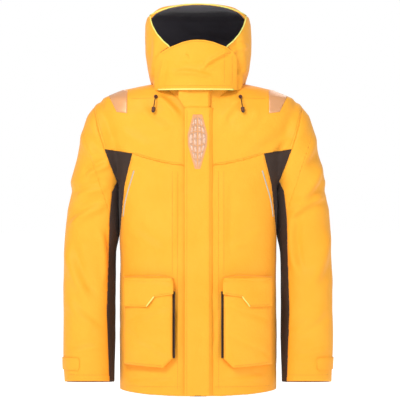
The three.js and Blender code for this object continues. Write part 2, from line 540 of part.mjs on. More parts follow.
const edgeOutside = bodyGrown(POCKET_DEPTH + 3 * FIT + SHELL + 1);
const GUSSET = 5;
for (const { side, sign } of SIDES) {
  const at = (points) => frontOf(mirrored(points, sign), -20);
  const walls = pouchFront.intersect(at(pocketOutline(0, 0)))
    .subtract(pouchInside.intersect(at(pocketOutline(SHELL, OVERRUN))));
  const innerWall = (grow) => {
    const edge = POCKET_INNER_X + SHELL + grow;
    return block([-FAR, -FAR, POCKET_BOTTOM + CORNER - grow], [FAR, FAR, flapFootZ + 10 + grow])
      .intersect(at([[0, 0], [edge, 0], [edge, FAR], [0, FAR]]))
      .intersect(bodyGrown(POCKET_DEPTH - GUSSET + grow));
  };
  const pouch = walls.subtract(onShell);
  add(`pocket_pouch_${side}`, pouch.subtract(innerWall(FIT)), 'yellow');
  add(`pocket_gusset_${side}`, pouch.intersect(innerWall(0)), 'black');
  add(`pocket_flap_${side}`, flapOutside.subtract(flapInside).intersect(at(POCKET_FLAP)), 'yellow');
  add(`pocket_flap_edge_${side}`, edgeOutside.subtract(edgeInside).intersect(at(FLAP_EDGE)), 'neon');
}

// ---- Reflective trims -------------------------------------------------------------------------------------
const trimWall = coatForm(FIT + 1, false).subtract(coatForm(FIT, false));
const SHOULDER_PATCH = [
  [188, neckZ + 36], [201, neckZ + 42], [240, neckZ + 28], [216, neckZ - 20], [188, neckZ - 24],
];
const PIPE = [[172, neckZ - 178], [183, neckZ - 206], [196, neckZ - 254], [200, neckZ - 300],
  [196.5, neckZ - 300], [192, neckZ - 254], [179, neckZ - 206], [168, neckZ - 178]];
for (const { side, sign } of SIDES) {
  const shoulderPatch = trimWall.intersect(frontOf(mirrored(SHOULDER_PATCH, sign), 0));
  add(`shoulder_reflector_${side}`, shoulderPatch, 'reflective');
  add(`side_piping_${side}`, trimWall.intersect(frontOf(mirrored(PIPE, sign), -20)), 'reflective');
}

// ---- Neck cords with their eyelets and locks ------------------------------------------------------
// The cord leaves its eyelet forwards, turns down and hangs straight through its lock.
const EYELET = { radius: 5, face: -104, rise: 20 };
const CORD_POINTS = [
  [112, -104.3, 20], [112.4, -108, 19.2], [113.4, -112, 15.5], [114.6, -114.6, 9],
  [115.8, -115.6, 1], [117, -116.4, -7], [118.2, -117.2, -15], [119.4, -118, -23],
];
const CORD_STEPS = 14;
const CORD_HALF_SIDES = 4;
const LOCK = { radius: 5.5, waist: 4.5, length: 14, bore: CORD_DIAMETER / 2 + 2 * FIT, sides: 12 };
for (const { side, sign } of SIDES) {
  const points = CORD_POINTS.map(([x, y, rise]) => new THREE.Vector3(sign * x, y, neckZ + rise));
  const disc = new THREE.CylinderGeometry(EYELET.radius, EYELET.radius, 50, 12);
  disc.translate(points[0].x, EYELET.face + 25, points[0].z);
  add(`cord_eyelet_${side}`, solid(disc).subtract(standsOnCoat).subtract(collarFilled), 'metal');
  const section = new THREE.Shape();
  section.absarc(0, 0, CORD_DIAMETER / 2, 0, 2 * Math.PI);
  const cord = new THREE.ExtrudeGeometry(section, {
    steps: CORD_STEPS, curveSegments: CORD_HALF_SIDES, extrudePath: new THREE.CatmullRomCurve3(points),
  });
  add(`neck_cord_${side}`, solid(cord), 'plastic');
  const half = LOCK.length / 2;
  const profile = [[LOCK.bore, -half], [LOCK.waist, -half], [LOCK.radius, -half / 3], [LOCK.radius, half / 3],
    [LOCK.waist, half], [LOCK.bore, half], [LOCK.bore, -half]].map(([x, y]) => new THREE.Vector2(x, y));
  const lock = new THREE.LatheGeometry(profile, LOCK.sides);
  const run = points[5].clone().sub(points[6]).normalize();
  lock.applyQuaternion(new THREE.Quaternion().setFromUnitVectors(new THREE.Vector3(0, 1, 0), run));
  lock.translate(points[6].x, points[6].y, points[6].z);
  add(`cord_lock_${side}`, solid(lock), 'plastic');
}

jacket.position.z = -neckZ;
const coat = new THREE.Group();
coat.add(jacket);
export default coat;
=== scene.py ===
"""Foul weather jacket for sailing: the looks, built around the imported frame.

Shapes are drawn in millimetres in the row's frame (X to the wearer's left, -Y to the front, Z up, the
origin in the middle of the neck) and scaled to metres once, when a piece is finished.
"""
import bisect
import logging
import math
from dataclasses import dataclass, field
from enum import Enum
from typing import Callable, Iterable, Optional, Sequence

import bmesh
import bpy
import numpy as np
from mathutils import Matrix, Vector, noise
from mathutils.bvhtree import BVHTree


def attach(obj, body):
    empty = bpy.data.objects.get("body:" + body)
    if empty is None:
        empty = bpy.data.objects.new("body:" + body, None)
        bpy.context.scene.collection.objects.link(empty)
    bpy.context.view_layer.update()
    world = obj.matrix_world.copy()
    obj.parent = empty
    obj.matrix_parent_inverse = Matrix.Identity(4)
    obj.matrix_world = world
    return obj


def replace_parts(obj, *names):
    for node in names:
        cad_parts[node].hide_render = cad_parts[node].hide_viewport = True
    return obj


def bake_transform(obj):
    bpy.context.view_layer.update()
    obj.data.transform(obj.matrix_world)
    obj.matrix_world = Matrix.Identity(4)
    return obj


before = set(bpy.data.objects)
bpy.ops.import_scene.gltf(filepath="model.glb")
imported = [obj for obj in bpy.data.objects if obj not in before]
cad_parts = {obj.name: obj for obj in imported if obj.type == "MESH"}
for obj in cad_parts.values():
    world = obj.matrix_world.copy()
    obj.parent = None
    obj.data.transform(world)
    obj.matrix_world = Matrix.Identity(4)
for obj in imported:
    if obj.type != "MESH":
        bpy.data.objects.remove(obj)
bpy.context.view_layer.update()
log = logging.getLogger("jacket")

MM = 0.001
HEM = -771.0                # row height of the hem
FRONT_AT_NECK = 110.0       # reach of the straight front edge at the neck seam and at the hem
FRONT_AT_HEM = 165.0
TILT = math.atan((FRONT_AT_NECK - FRONT_AT_HEM) / HEM)  # lean of the front edge
FRONT_UP = Vector((0, math.sin(TILT), math.cos(TILT)))
FRONT_OUT = Vector((0, -math.cos(TILT), math.sin(TILT)))
FRONT_FOOT = Vector((0, -FRONT_AT_HEM, HEM))
BODY_HALF = 207.0           # half width of the trunk, from the hem to the waist
BODY_SQUARE = 2.7           # squareness of the trunk there
SHELL_VOXEL = 5.0           # face size of the coat's skin
HOOD_VOXEL = 4.0            # face size of the hood's skin
BODY_GROW = 2.4             # forms are drawn larger by this, since softening takes it back
ARM_GROW = 2.2
HOOD_GROW = 3.6
SEAM_SINK = 1.3             # how deep a panel's edge lies in its seam
WALL = 2.2                  # thickness of the shell's cloth
LINING_WALL = 1.2
FACING_TOP = -731.0         # where the hem facing meets the lining
CLOTH = "cloth"             # vertex attribute: how the weave lies, in metres


class Side(Enum):
    """The wearer's own sides, with the sign of X."""

    LEFT = 1
    RIGHT = -1

    @property
    def word(self) -> str:
        """The side's name as the frame writes it."""
        return self.name.lower()


class Axis(Enum):
    """A coordinate that a cut compares."""

    X = 0
    Y = 1
    Z = 2


# ---- Lines and trimming --------------------------------------------------------------------------
class Line:
    """A value that follows another along straight runs between knots."""

    def __init__(self, *knots: tuple[float, float]) -> None:
        """Args: knots are pairs (where, value), in any order."""
        self.knots = sorted(knots)
        self.where = [k[0] for k in self.knots]

    def __call__(self, at: float) -> float:
        """Returns: the value at a place, level past both ends."""
        if at <= self.where[0]:
            return self.knots[0][1]
        if at >= self.where[-1]:
            return self.knots[-1][1]
        i = bisect.bisect_right(self.where, at)
        (a, va), (b, vb) = self.knots[i - 1], self.knots[i]
        return va + (vb - va) * (at - a) / (b - a)


@dataclass(frozen=True)
class Cut:
    """A cut through cloth along a line, which keeps the cloth on one side of it."""

    axis: Axis
    line: Callable[[Vector], float]
    above: bool

    def apply(self, cloth: bmesh.types.BMesh) -> None:
        """Cuts. Args: cloth is trimmed in place."""
        i = self.axis.value
        for v in cloth.verts:
            v.co[i] -= self.line(v.co)
        normal = Vector((0, 0, 0))
        normal[i] = 1.0
        bmesh.ops.bisect_plane(
            cloth, geom=cloth.verts[:] + cloth.edges[:] + cloth.faces[:], dist=1e-4, plane_co=(0, 0, 0),
            plane_no=normal, clear_inner=self.above, clear_outer=not self.above)
        for v in cloth.verts:
            v.co[i] += self.line(v.co)


def level(axis: Axis, value: float, above: bool) -> Cut:
    """A straight cut square to an axis."""
    return Cut(axis, lambda p: value, above)


def trimmed(cloth: bmesh.types.BMesh, *cuts: Cut) -> bmesh.types.BMesh:
    """Returns: a copy of the cloth after the cuts."""
    piece = cloth.copy()
    for cut in cuts:
        cut.apply(piece)
    return piece


def cut_outline(cloth: bmesh.types.BMesh, outline: Sequence[tuple[float, float]]) -> None:
    """Keeps the cloth inside a convex outline seen from the front.

    Args:
        cloth: trimmed in place.
        outline: (x, z) corners, in either direction.
    """
    middle = Vector((sum(p[0] for p in outline), 0, sum(p[1] for p in outline))) / len(outline)
    for (xa, za), (xb, zb) in zip(outline, [*outline[1:], outline[0]]):
        normal = Vector((zb - za, 0, xa - xb))
        if normal.dot(middle - Vector((xa, 0, za))) > 0:
            normal.negate()
        bmesh.ops.bisect_plane(
            cloth, geom=cloth.verts[:] + cloth.edges[:] + cloth.faces[:], dist=1e-4,
            plane_co=(xa, 0, za), plane_no=normal, clear_outer=True)


# ---- Forms ---------------------------------------------------------------------------------------
def power(value: float, exponent: float) -> float:
    """A signed power."""
    return math.copysign(abs(value) ** exponent, value)


@dataclass(frozen=True)
class Ring:
    """A level ring of a form: half width, reach to front and back, squareness."""

    z: float
    half: float
    front: float
    back: float
    square: float = 2.5

    def points(self, grow: float, count: int) -> list[Vector]:
        """Returns: the ring's corners, grown by a distance."""
        e = 2 / self.square
        ring = []
        for i in range(count):
            turn = 2 * math.pi * i / count
            reach = (self.front if math.sin(turn) < 0 else self.back) + grow
            ring.append(Vector(((self.half + grow) * power(math.cos(turn), e),
                                reach * power(math.sin(turn), e), self.z)))
        return ring


@dataclass(frozen=True)
class ArmRing:
    """A slanted ring of a sleeve: outer and inner edge in x and z, half depth, middle in y."""

    outer: tuple[float, float]
    inner: tuple[float, float]
    deep: float
    y: float
    square: float = 2.3

    def points(self, side: Side, grow: float, count: int, spread: Callable[[float], float]) -> list[Vector]:
        """Returns: the ring's corners on one side, moved out by spread(z)."""
        e = 2 / self.square
        half = ((self.outer[0] - self.inner[0]) / 2, (self.outer[1] - self.inner[1]) / 2)
        length = math.hypot(*half)
        ring = []
        for i in range(count):
            turn = 2 * math.pi * i / count
            across = (1 + grow / length) * power(math.cos(turn), e)
            z = (self.outer[1] + self.inner[1]) / 2 + half[1] * across
            x = (self.outer[0] + self.inner[0]) / 2 + half[0] * across + spread(z)
            ring.append(Vector((side.value * x, self.y + (self.deep + grow) * power(math.sin(turn), e), z)))
        return ring


def front_edge(z: float) -> float:
    """How far the straight front line stands ahead of the side seams at a height."""
    return FRONT_AT_NECK + (FRONT_AT_HEM - FRONT_AT_NECK) * z / HEM


BODY_RINGS = [
    Ring(HEM, BODY_HALF, 165, 124, BODY_SQUARE),
    Ring(-320, BODY_HALF, front_edge(-320), 122, BODY_SQUARE),
    Ring(-211, 211, front_edge(-211), 124, 2.9), Ring(-130, 229, front_edge(-130), 128, 3.2),
    Ring(-70, 248, front_edge(-70), 126, 3.3), Ring(-20, 262, front_edge(-20), 116, 3.1),
    Ring(18, 254, 98, 104, 2.9), Ring(40, 200, 84, 92, 2.6), Ring(56, 122, 66, 76, 2.4),
    Ring(64, 72, 44, 54, 2.2),
]
ARM_RINGS = [
    ArmRing((354, -752), (226, -752), 61, -28.5), ArmRing((358, -675), (224, -675), 65, -26),
    ArmRing((359, -515), (223, -515), 70, -8), ArmRing((357, -371), (221, -371), 74, 14),
    ArmRing((349, -282), (214, -318), 76, 14), ArmRing((338, -222), (214, -262), 80, 11),
    ArmRing((325, -148), (213, -232), 86, 8), ArmRing((311, -78), (212, -218), 92, 6),
    ArmRing((296, -30), (211, -212), 92, 4), ArmRing((270, 4), (205, -208), 80, 3),
    ArmRing((222, 2), (159, -190), 64, 3),
]
COLLAR_RINGS = [
    Ring(-20, 116, front_edge(-20) - 1, 86, 2.3), Ring(40, 116, front_edge(40) - 1, 86, 2.3),
    Ring(92, 110, front_edge(92) - 1, 84, 2.3),
]
HOOD_RINGS = [
    Ring(-30, 122, 118, 102, 2.5), Ring(58, 124, 119, 108, 2.5), Ring(95, 133, 121, 120, 2.5),
    Ring(135, 138, 122, 124, 2.6), Ring(190, 139, 122, 124, 2.6), Ring(228, 138, 122, 116, 2.6),
    Ring(248, 133, 121, 102, 2.6), Ring(262, 113, 116, 78, 2.6), Ring(270, 69, 96, 40, 2.4),
]


def loft(rings: Sequence[Sequence[Vector]], closed: bool = True, ends: bool = True) -> bmesh.types.BMesh:
    """A skin through rings of equal count.

    Args:
        rings: corners of each ring.
        closed: each ring closes on itself; otherwise the skin is an open strip.
        ends: the first and last rings are filled.
    Returns: the new mesh, its faces outwards.
    """
    skin = bmesh.new()
    loops = []
    for ring in rings:
        if closed:
            made = bmesh.ops.create_circle(skin, cap_ends=False, segments=len(ring), radius=1.0)["verts"]
            for v, p in zip(made, ring):
                v.co = p
            edges = list({e for v in made for e in v.link_edges})
        else:
            made = [skin.verts.new(p) for p in ring]
            edges = [skin.edges.new(pair) for pair in zip(made, made[1:])]
        loops.append((made, edges))
    for (_, a), (_, b) in zip(loops, loops[1:]):
        bmesh.ops.bridge_loops(skin, edges=a + b)
    if closed and ends:
        for _, edges in (loops[0], loops[-1]):
            bmesh.ops.contextual_create(skin, geom=edges)
    bmesh.ops.recalc_face_normals(skin, faces=skin.faces[:])
    return skin


def joined(*meshes: bmesh.types.BMesh, weld: float = 0.0) -> bmesh.types.BMesh:
    """Returns: one mesh with everything in the given ones, which are freed."""
    whole = bmesh.new()
    for part in meshes:
        data = bpy.data.meshes.new("part")
        part.to_mesh(data)
        whole.from_mesh(data)
        bpy.data.meshes.remove(data)
        part.free()
    if weld:
        bmesh.ops.remove_doubles(whole, verts=whole.verts[:], dist=weld)
    return whole


def even_skin(rough: bmesh.types.BMesh, voxel: float, rounds: int) -> bmesh.types.BMesh:
    """Remeshes closed forms into one even skin and softens it.

    Args:
        rough: one or more closed forms; freed.
        voxel: size of the new faces, in millimetres.
        rounds: how often the skin is smoothed.
    Returns: the new skin.
    """
    data = bpy.data.meshes.new("rough")
    bmesh.ops.triangulate(rough, faces=rough.faces[:])
    rough.to_mesh(data)
    rough.free()
    form = bpy.data.objects.new("rough", data)
    bpy.context.scene.collection.objects.link(form)
    remesh = form.modifiers.new("even", "REMESH")
    remesh.mode = "VOXEL"
    remesh.voxel_size = voxel
    graph = bpy.context.evaluated_depsgraph_get()
    skin = bmesh.new()
    skin.from_object(form, graph)
    bpy.data.objects.remove(form)
    for _ in range(rounds):
        bmesh.ops.smooth_vert(skin, verts=skin.verts[:], factor=0.5, use_axis_x=True, use_axis_y=True,
                              use_axis_z=True)
    skin.normal_update()
    return skin


# ---- Folds ---------------------------------------------------------------------------------------
FOLD_DEPTH = 1.4
FOLD_WIDTH = 0.85


@dataclass(frozen=True)
class Fold:
    """A soft fold in hanging cloth: a ridge with a hollow beside it, drawn as seen from the front."""

    start: tuple[float, float]
    end: tuple[float, float]
    height: float = 4.0
    width: float = 14.0
    facing: int = -1        # -1 on the front, 1 on the back
    bow: float = 0.0        # how far the middle swings sideways
    hollow: float = 0.7     # depth of the hollow, as a share of the height

    def lift(self, at: np.ndarray, normals: np.ndarray) -> np.ndarray:
        """Returns: how far each point stands out. Args: at and normals are N x 3."""
        a = np.array(self.start)
        run = np.array(self.end) - a
        length = float(np.hypot(*run))
        run = run / length
        off = at[:, (0, 2)] - a
        along = off @ run / length
        across = off @ np.array((-run[1], run[0])) - self.bow * (1 - (2 * along - 1) ** 2)
        body = np.exp(-np.clip(np.abs(along - 0.5) * 2 - 0.55, 0, None) ** 2 / 0.10)
        width = self.width * FOLD_WIDTH
        ridge = np.exp(-(across / width) ** 2)
        dip = np.exp(-((across - 1.6 * width) / (0.9 * width)) ** 2)
        facing = np.clip(self.facing * normals[:, 1] * 1.6 + 0.25, 0, 1)
        return FOLD_DEPTH * self.height * body * facing * (ridge - self.hollow * dip)


def fold_cloth(skin: bmesh.types.BMesh, folds: Iterable[Fold], slack: float, seed: float) -> None:
    """Presses folds and an uneven hang into a skin.

    Args:
        skin: moved in place along its normals.
        folds: the folds it gets.
        slack: height of the uneven hang, in millimetres.
        seed: where in the noise the hang is read.
    """
    skin.normal_update()
    at = np.array([v.co[:] for v in skin.verts])
    normals = np.array([v.normal[:] for v in skin.verts])
    lift = np.zeros(len(at))
    for fold in folds:
        lift += fold.lift(at, normals)
    shift = Vector((seed, seed * 0.7, 0))
    for v, up, n in zip(skin.verts, lift, normals):
        broad = noise.noise((v.co + shift * 100) / 95)
        fine = noise.noise((v.co + shift * 100) / 30)
        v.co += Vector(n) * (up + slack * (broad + 0.28 * fine))
    skin.normal_update()


# ---- Finishes ------------------------------------------------------------------------------------
Colour = tuple[float, float, float]


class Patch:
    """A few words for wiring shader nodes."""

    def __init__(self, tree: bpy.types.NodeTree) -> None:
        """Args: tree is the node tree that gets the nodes."""
        self.tree = tree

    def node(self, kind: str, **settings: object) -> bpy.types.Node:
        """Returns: a new node with its settings."""
        made = self.tree.nodes.new(kind)
        for key, value in settings.items():
            setattr(made, key, value)
        return made

    def feed(self, socket: bpy.types.NodeSocket, value: object) -> None:
        """Links an output into a socket, or sets the socket's own value."""
        if isinstance(value, bpy.types.NodeSocket):
            self.tree.links.new(value, socket)
        else:
            socket.default_value = value

    def maths(self, what: str, a: object, b: object = 0.0, c: object = 0.0) -> bpy.types.NodeSocket:
        """Returns: the result of a Math node."""
        made = self.node("ShaderNodeMath", operation=what)
        for socket, value in zip(made.inputs, (a, b, c)):
            self.feed(socket, value)
        return made.outputs[0]

    def spread(self, value: object, low: float, high: float, to_low: float,
               to_high: float) -> bpy.types.NodeSocket:
        """Returns: a value carried from one range to another, held at its ends."""
        made = self.node("ShaderNodeMapRange")
        for socket, number in zip(made.inputs, (value, low, high, to_low, to_high)):
            self.feed(socket, number)
        return made.outputs[0]

    def noise(self, where: object, scale: float, detail: float, rough: float = 0.55) -> bpy.types.NodeSocket:
        """Returns: the value of a Noise node."""
        made = self.node("ShaderNodeTexNoise")
        self.feed(made.inputs["Vector"], where)
        made.inputs["Scale"].default_value = scale
        made.inputs["Detail"].default_value = detail
        made.inputs["Roughness"].default_value = rough
        return made.outputs["Fac"]

    def mix(self, share: object, a: object, b: object) -> bpy.types.NodeSocket:
        """Returns: two colours mixed by a share."""
        made = self.node("ShaderNodeMix", data_type="RGBA")
        for key, value in (("Factor_Float", share), ("A_Color", a), ("B_Color", b)):
            socket = next(s for s in made.inputs if s.identifier == key)
            self.feed(socket, value)
        return next(s for s in made.outputs if s.identifier == "Result_Color")

    def upright(self, place: object) -> bpy.types.NodeSocket:
        """Returns: a place whose second axis runs up the front."""
        turn = self.node("ShaderNodeMapping")
        turn.inputs["Rotation"].default_value = (math.pi / 2, 0, 0)
        self.feed(turn.inputs["Vector"], place)
        return turn.outputs[0]

    def relief(self, height: object, strength: float, distance: float,
               under: Optional[bpy.types.NodeSocket] = None) -> bpy.types.NodeSocket:
        """Returns: a normal raised by a height, over another normal. Args: distance is in metres."""
        made = self.node("ShaderNodeBump")
        made.inputs["Strength"].default_value = strength
        made.inputs["Distance"].default_value = distance
        self.feed(made.inputs["Height"], height)
        if under:
            self.feed(made.inputs["Normal"], under)
        return made.outputs[0]

    def grouped(self, tree: bpy.types.NodeTree, **values: object) -> bpy.types.Node:
        """Returns: a group node holding the tree, with its inputs fed by name."""
        made = self.node("ShaderNodeGroup", node_tree=tree)
        for key, value in values.items():
            self.feed(made.inputs[key.replace("_", " ")], value)
        return made


def start_finish(name: str) -> tuple[bpy.types.Material, Patch, bpy.types.Node, bpy.types.NodeSocket]:
    """Returns: a new material, its wiring helper, its surface node and the place on the piece."""
    stuff = bpy.data.materials.new(name)
    stuff.use_nodes = True
    p = Patch(stuff.node_tree)
    place = p.node("ShaderNodeTexCoord").outputs["Object"]
    return stuff, p, stuff.node_tree.nodes["Principled BSDF"], place


def new_group(name: str, inputs: Sequence[tuple[str, str, object]],
              outputs: Sequence[str]) -> tuple[Patch, bpy.types.Node, bpy.types.Node]:
    """Starts a shader node group.

    Args:
        name: the group's name.
        inputs: (name, kind of socket, value) of each input.
        outputs: names of its float outputs.
    Returns: the wiring helper, the group's input node and its output node.
    """
    tree = bpy.data.node_groups.new(name, "ShaderNodeTree")
    for label, kind, value in inputs:
        socket = tree.interface.new_socket(label, in_out="INPUT", socket_type=kind)
        if value is not None:
            socket.default_value = value
    for label in outputs:
        tree.interface.new_socket(label, in_out="OUTPUT", socket_type="NodeSocketFloat")
    patch = Patch(tree)
    return patch, patch.node("NodeGroupInput"), patch.node("NodeGroupOutput")


def weave_group() -> bpy.types.NodeTree:
    """Returns: a plain weave, whose Height rises where a thread lies on top."""
    name = "plain weave"
    if name in bpy.data.node_groups:
        return bpy.data.node_groups[name]
    p, given, out = new_group(name, [("Where", "NodeSocketVector", None),
                                     ("Threads per metre", "NodeSocketFloat", 1000.0)], ["Height"])
    split = p.node("ShaderNodeSeparateXYZ")
    p.feed(split.inputs[0], given.outputs["Where"])
    turns = p.maths("MULTIPLY", given.outputs["Threads per metre"], math.pi)
    warp = p.maths("SINE", p.maths("MULTIPLY", split.outputs[0], turns))
    weft = p.maths("SINE", p.maths("MULTIPLY", split.outputs[1], turns))
    over = p.maths("MULTIPLY", warp, weft)
    both = p.maths("ADD", p.maths("ABSOLUTE", warp), p.maths("ABSOLUTE", weft))
    p.feed(out.inputs[0], p.spread(p.maths("MULTIPLY_ADD", over, 0.5, both), -0.5, 2.5, 0.0, 1.0))
    return bpy.data.node_groups[name]


def wear_group() -> bpy.types.NodeTree:
    """Returns: handling marks: Cloud is broad and soft, Crinkle is fine."""
    name = "handling"
    if name in bpy.data.node_groups:
        return bpy.data.node_groups[name]
    p, given, out = new_group(name, [("Where", "NodeSocketVector", None)], ["Cloud", "Crinkle"])
    p.feed(out.inputs[0], p.noise(given.outputs["Where"], 9.0, 3.0))
    p.feed(out.inputs[1], p.noise(given.outputs["Where"], 30.0, 6.0, 0.6))
    return bpy.data.node_groups[name]


@dataclass(frozen=True)
class Cloth:
    """A woven finish: its colours, how it takes light, its weave."""

    name: str
    colour: Colour
    deep: Colour                # where the cloth is darker, in its clouds
    rough: float = 0.62
    threads: float = 900.0      # per metre
    weave: float = 0.16         # how far the weave shows in the light
    crinkle: float = 0.34
    sheen: float = 0.12
    follows: bool = True        # the weave follows the cloth and not the space round it

    def make(self) -> bpy.types.Material:
        """Returns: the finish as a material, made once."""
        if self.name in bpy.data.materials:
            return bpy.data.materials[self.name]
        stuff, p, skin, place = start_finish(self.name)
        if self.follows:
            lie = p.node("ShaderNodeAttribute", attribute_name=CLOTH).outputs["Vector"]
        else:
            lie = p.upright(place)
        weave = p.grouped(weave_group(), Where=lie, Threads_per_metre=self.threads)
        wear = p.grouped(wear_group(), Where=place)
        cloud = p.spread(wear.outputs["Cloud"], 0.35, 0.7, 0.0, 1.0)
        thread = p.spread(weave.outputs["Height"], 0.0, 1.0, 0.10, 0.0)
        share = p.maths("ADD", p.maths("MULTIPLY", cloud, 0.5), thread)
        p.feed(skin.inputs["Base Color"], p.mix(share, (*self.colour, 1), (*self.deep, 1)))
        p.feed(skin.inputs["Roughness"],
               p.spread(wear.outputs["Crinkle"], 0.3, 0.7, self.rough - 0.05, self.rough + 0.08))
        threads = p.relief(weave.outputs["Height"], self.weave, 0.0004)
        p.feed(skin.inputs["Normal"], p.relief(wear.outputs["Crinkle"], self.crinkle, 0.006, threads))
        skin.inputs["Sheen Weight"].default_value = self.sheen
        skin.inputs["Sheen Roughness"].default_value = 0.4
        skin.inputs["Specular IOR Level"].default_value = 0.3
        return stuff


@dataclass(frozen=True)
class Smooth:
    """A moulded, cast or printed finish with fine grain and rubbed places."""

    name: str
    colour: Colour
    worn: Colour
    rough: float = 0.4
    metal: float = 0.0
    grain: float = 300.0        # grains per metre
    depth: float = 0.15
    hatch: float = 0.0          # hatched lines per metre, for printed reflective film

    def make(self) -> bpy.types.Material:
        """Returns: the finish as a material, made once."""
        if self.name in bpy.data.materials:
            return bpy.data.materials[self.name]
        stuff, p, skin, place = start_finish(self.name)
        wear = p.grouped(wear_group(), Where=place)
        share = p.spread(wear.outputs["Crinkle"], 0.42, 0.72, 0.0, 0.8)
        height = p.noise(place, self.grain, 2.0)
        if self.hatch:
            mesh = p.grouped(weave_group(), Where=p.upright(place), Threads_per_metre=self.hatch)
            height = mesh.outputs["Height"]
            share = p.maths("MULTIPLY_ADD", p.spread(height, 0.45, 0.6, 1.0, 0.0), 0.7,
                            p.maths("MULTIPLY", share, 0.3))
        p.feed(skin.inputs["Base Color"], p.mix(share, (*self.colour, 1), (*self.worn, 1)))
        p.feed(skin.inputs["Roughness"],
               p.spread(wear.outputs["Cloud"], 0.3, 0.7, self.rough - 0.06, self.rough + 0.12))
        p.feed(skin.inputs["Normal"], p.relief(height, self.depth, 0.0005))
        skin.inputs["Metallic"].default_value = self.metal
        return stuff


YELLOW = Cloth("waterproof yellow weave", (0.97, 0.430, 0.030), (0.95, 0.375, 0.015), rough=0.6, threads=1000)
PLUM = Cloth("plum black stretch weave", (0.044, 0.027, 0.021), (0.034, 0.018, 0.013), rough=0.78,
             threads=600, weave=0.3)
LINING = Cloth("charcoal lining", (0.150, 0.142, 0.170), (0.110, 0.104, 0.128), rough=0.8, threads=500,
               weave=0.35, sheen=0.2)
CUFF = Cloth("rust cuff lining", (0.20, 0.040, 0.010), (0.13, 0.026, 0.008), rough=0.7, threads=700)
WEBBING = Cloth("black webbing", (0.035, 0.032, 0.034), (0.024, 0.022, 0.024), rough=0.75, threads=450,
                weave=0.5, follows=False)
HOOKS = Cloth("amber hook tape", (0.80, 0.36, 0.022), (0.70, 0.28, 0.015), rough=0.9, threads=800,
              weave=0.8, sheen=0.3, follows=False)
BINDING = Cloth("fluorescent binding", (0.80, 0.80, 0.22), (0.76, 0.72, 0.10), rough=0.5, threads=1400,
                weave=0.12, follows=False)
THREAD = Smooth("yellow thread", (0.66, 0.26, 0.014), (0.58, 0.21, 0.01), rough=0.5, grain=4000)
REFLECTIVE = Smooth("printed reflective film", (0.70, 0.36, 0.20), (0.82, 0.36, 0.08), rough=0.3, metal=0.12,
                    hatch=700)
GLINT = Smooth("bright reflective facets", (0.78, 0.50, 0.36), (0.70, 0.40, 0.24), rough=0.22, metal=0.2,
               grain=900)
GREY_TAPE = Smooth("grey reflective piping", (0.42, 0.41, 0.36), (0.60, 0.55, 0.42), rough=0.35, metal=0.2,
                   hatch=500)
TOOTH = Smooth("moulded zip teeth", (0.028, 0.028, 0.032), (0.06, 0.06, 0.066), rough=0.35, grain=1500)
# Painted shadow: a dark amber finish for the thin lines along the face flap's edges, which stand in for the shadow
# the flap casts on the hood.
FLAP_EDGE_SHADOW = Smooth("amber edge tape", (0.48, 0.14, 0.008), (0.36, 0.09, 0.005), rough=0.8, grain=700)
METAL = Smooth("brushed metal", (0.40, 0.41, 0.43), (0.55, 0.55, 0.56), rough=0.28, metal=0.95, grain=2500)
TOGGLE = Smooth("dark brown plastic", (0.095, 0.020, 0.006), (0.12, 0.05, 0.03), rough=0.38, grain=1200)
DARK_PLASTIC = Smooth("black plastic button", (0.03, 0.018, 0.014), (0.07, 0.045, 0.035), rough=0.42,
                      grain=1500)
CORD = Cloth("braided brown cord", (0.085, 0.022, 0.008), (0.05, 0.014, 0.006), rough=0.7, threads=900,
             weave=0.8, follows=False)


# ---- Finished pieces -----------------------------------------------------------------------------
Finish = Cloth | Smooth


def finished(name: str, mesh: bmesh.types.BMesh, finish: Finish, slot: str, thick: float = 0.0,
             bevel: float = 0.0) -> bpy.types.Object:
    """Turns a mesh in millimetres into a shown piece in metres.

    Args:
        name: the piece's name.
        mesh: freed.
        finish: what it is dressed in.
        slot: the record's material slot; not used.
        thick: wall given inwards, in millimetres.
        bevel: width of its rounded edges, in millimetres.
    Returns: the piece, standing at the origin.
    """
    bmesh.ops.scale(mesh, vec=(MM, MM, MM), verts=mesh.verts[:])
    for face in mesh.faces:
        face.smooth = True
    data = bpy.data.meshes.new(name)
    mesh.to_mesh(data)
    mesh.free()
    made = bpy.data.objects.new(name, data)
    bpy.context.scene.collection.objects.link(made)
    data.materials.append(finish.make())
    if thick:
        wall = made.modifiers.new("wall", "SOLIDIFY")
        wall.thickness = thick * MM
        wall.offset = -1.0
    if bevel:
        edge = made.modifiers.new("edge", "BEVEL")
        edge.width = bevel * MM
        edge.segments = 2
        edge.limit_method = "ANGLE"
        edge.angle_limit = math.radians(50)
    log.info("%s: %d faces", name, len(data.polygons))
    return made


def sink_edges(cloth: bmesh.types.BMesh, depth: float) -> None:
    """Pulls a panel's edges inwards, as sewn seams lie. Args: depth is in millimetres."""
    cloth.normal_update()
    rim = {v for e in cloth.edges if e.is_boundary for v in e.verts}
    for v in rim:
        v.co -= v.normal * depth
    near = {o for v in rim for e in v.link_edges for o in e.verts} - rim
    for v in near:
        v.co -= v.normal * depth * 0.12


def lay_weave(cloth: bmesh.types.BMesh, lie: Callable[[Vector], tuple[float, float]]) -> None:
    """Stores how the weave lies. Args: lie gives warp and weft lengths, in millimetres, at a point."""
    layer = cloth.verts.layers.float_vector.get(CLOTH) or cloth.verts.layers.float_vector.new(CLOTH)
    for v in cloth.verts:
        across, along = lie(v.co)
        v[layer] = Vector((across * MM, along * MM, 0))


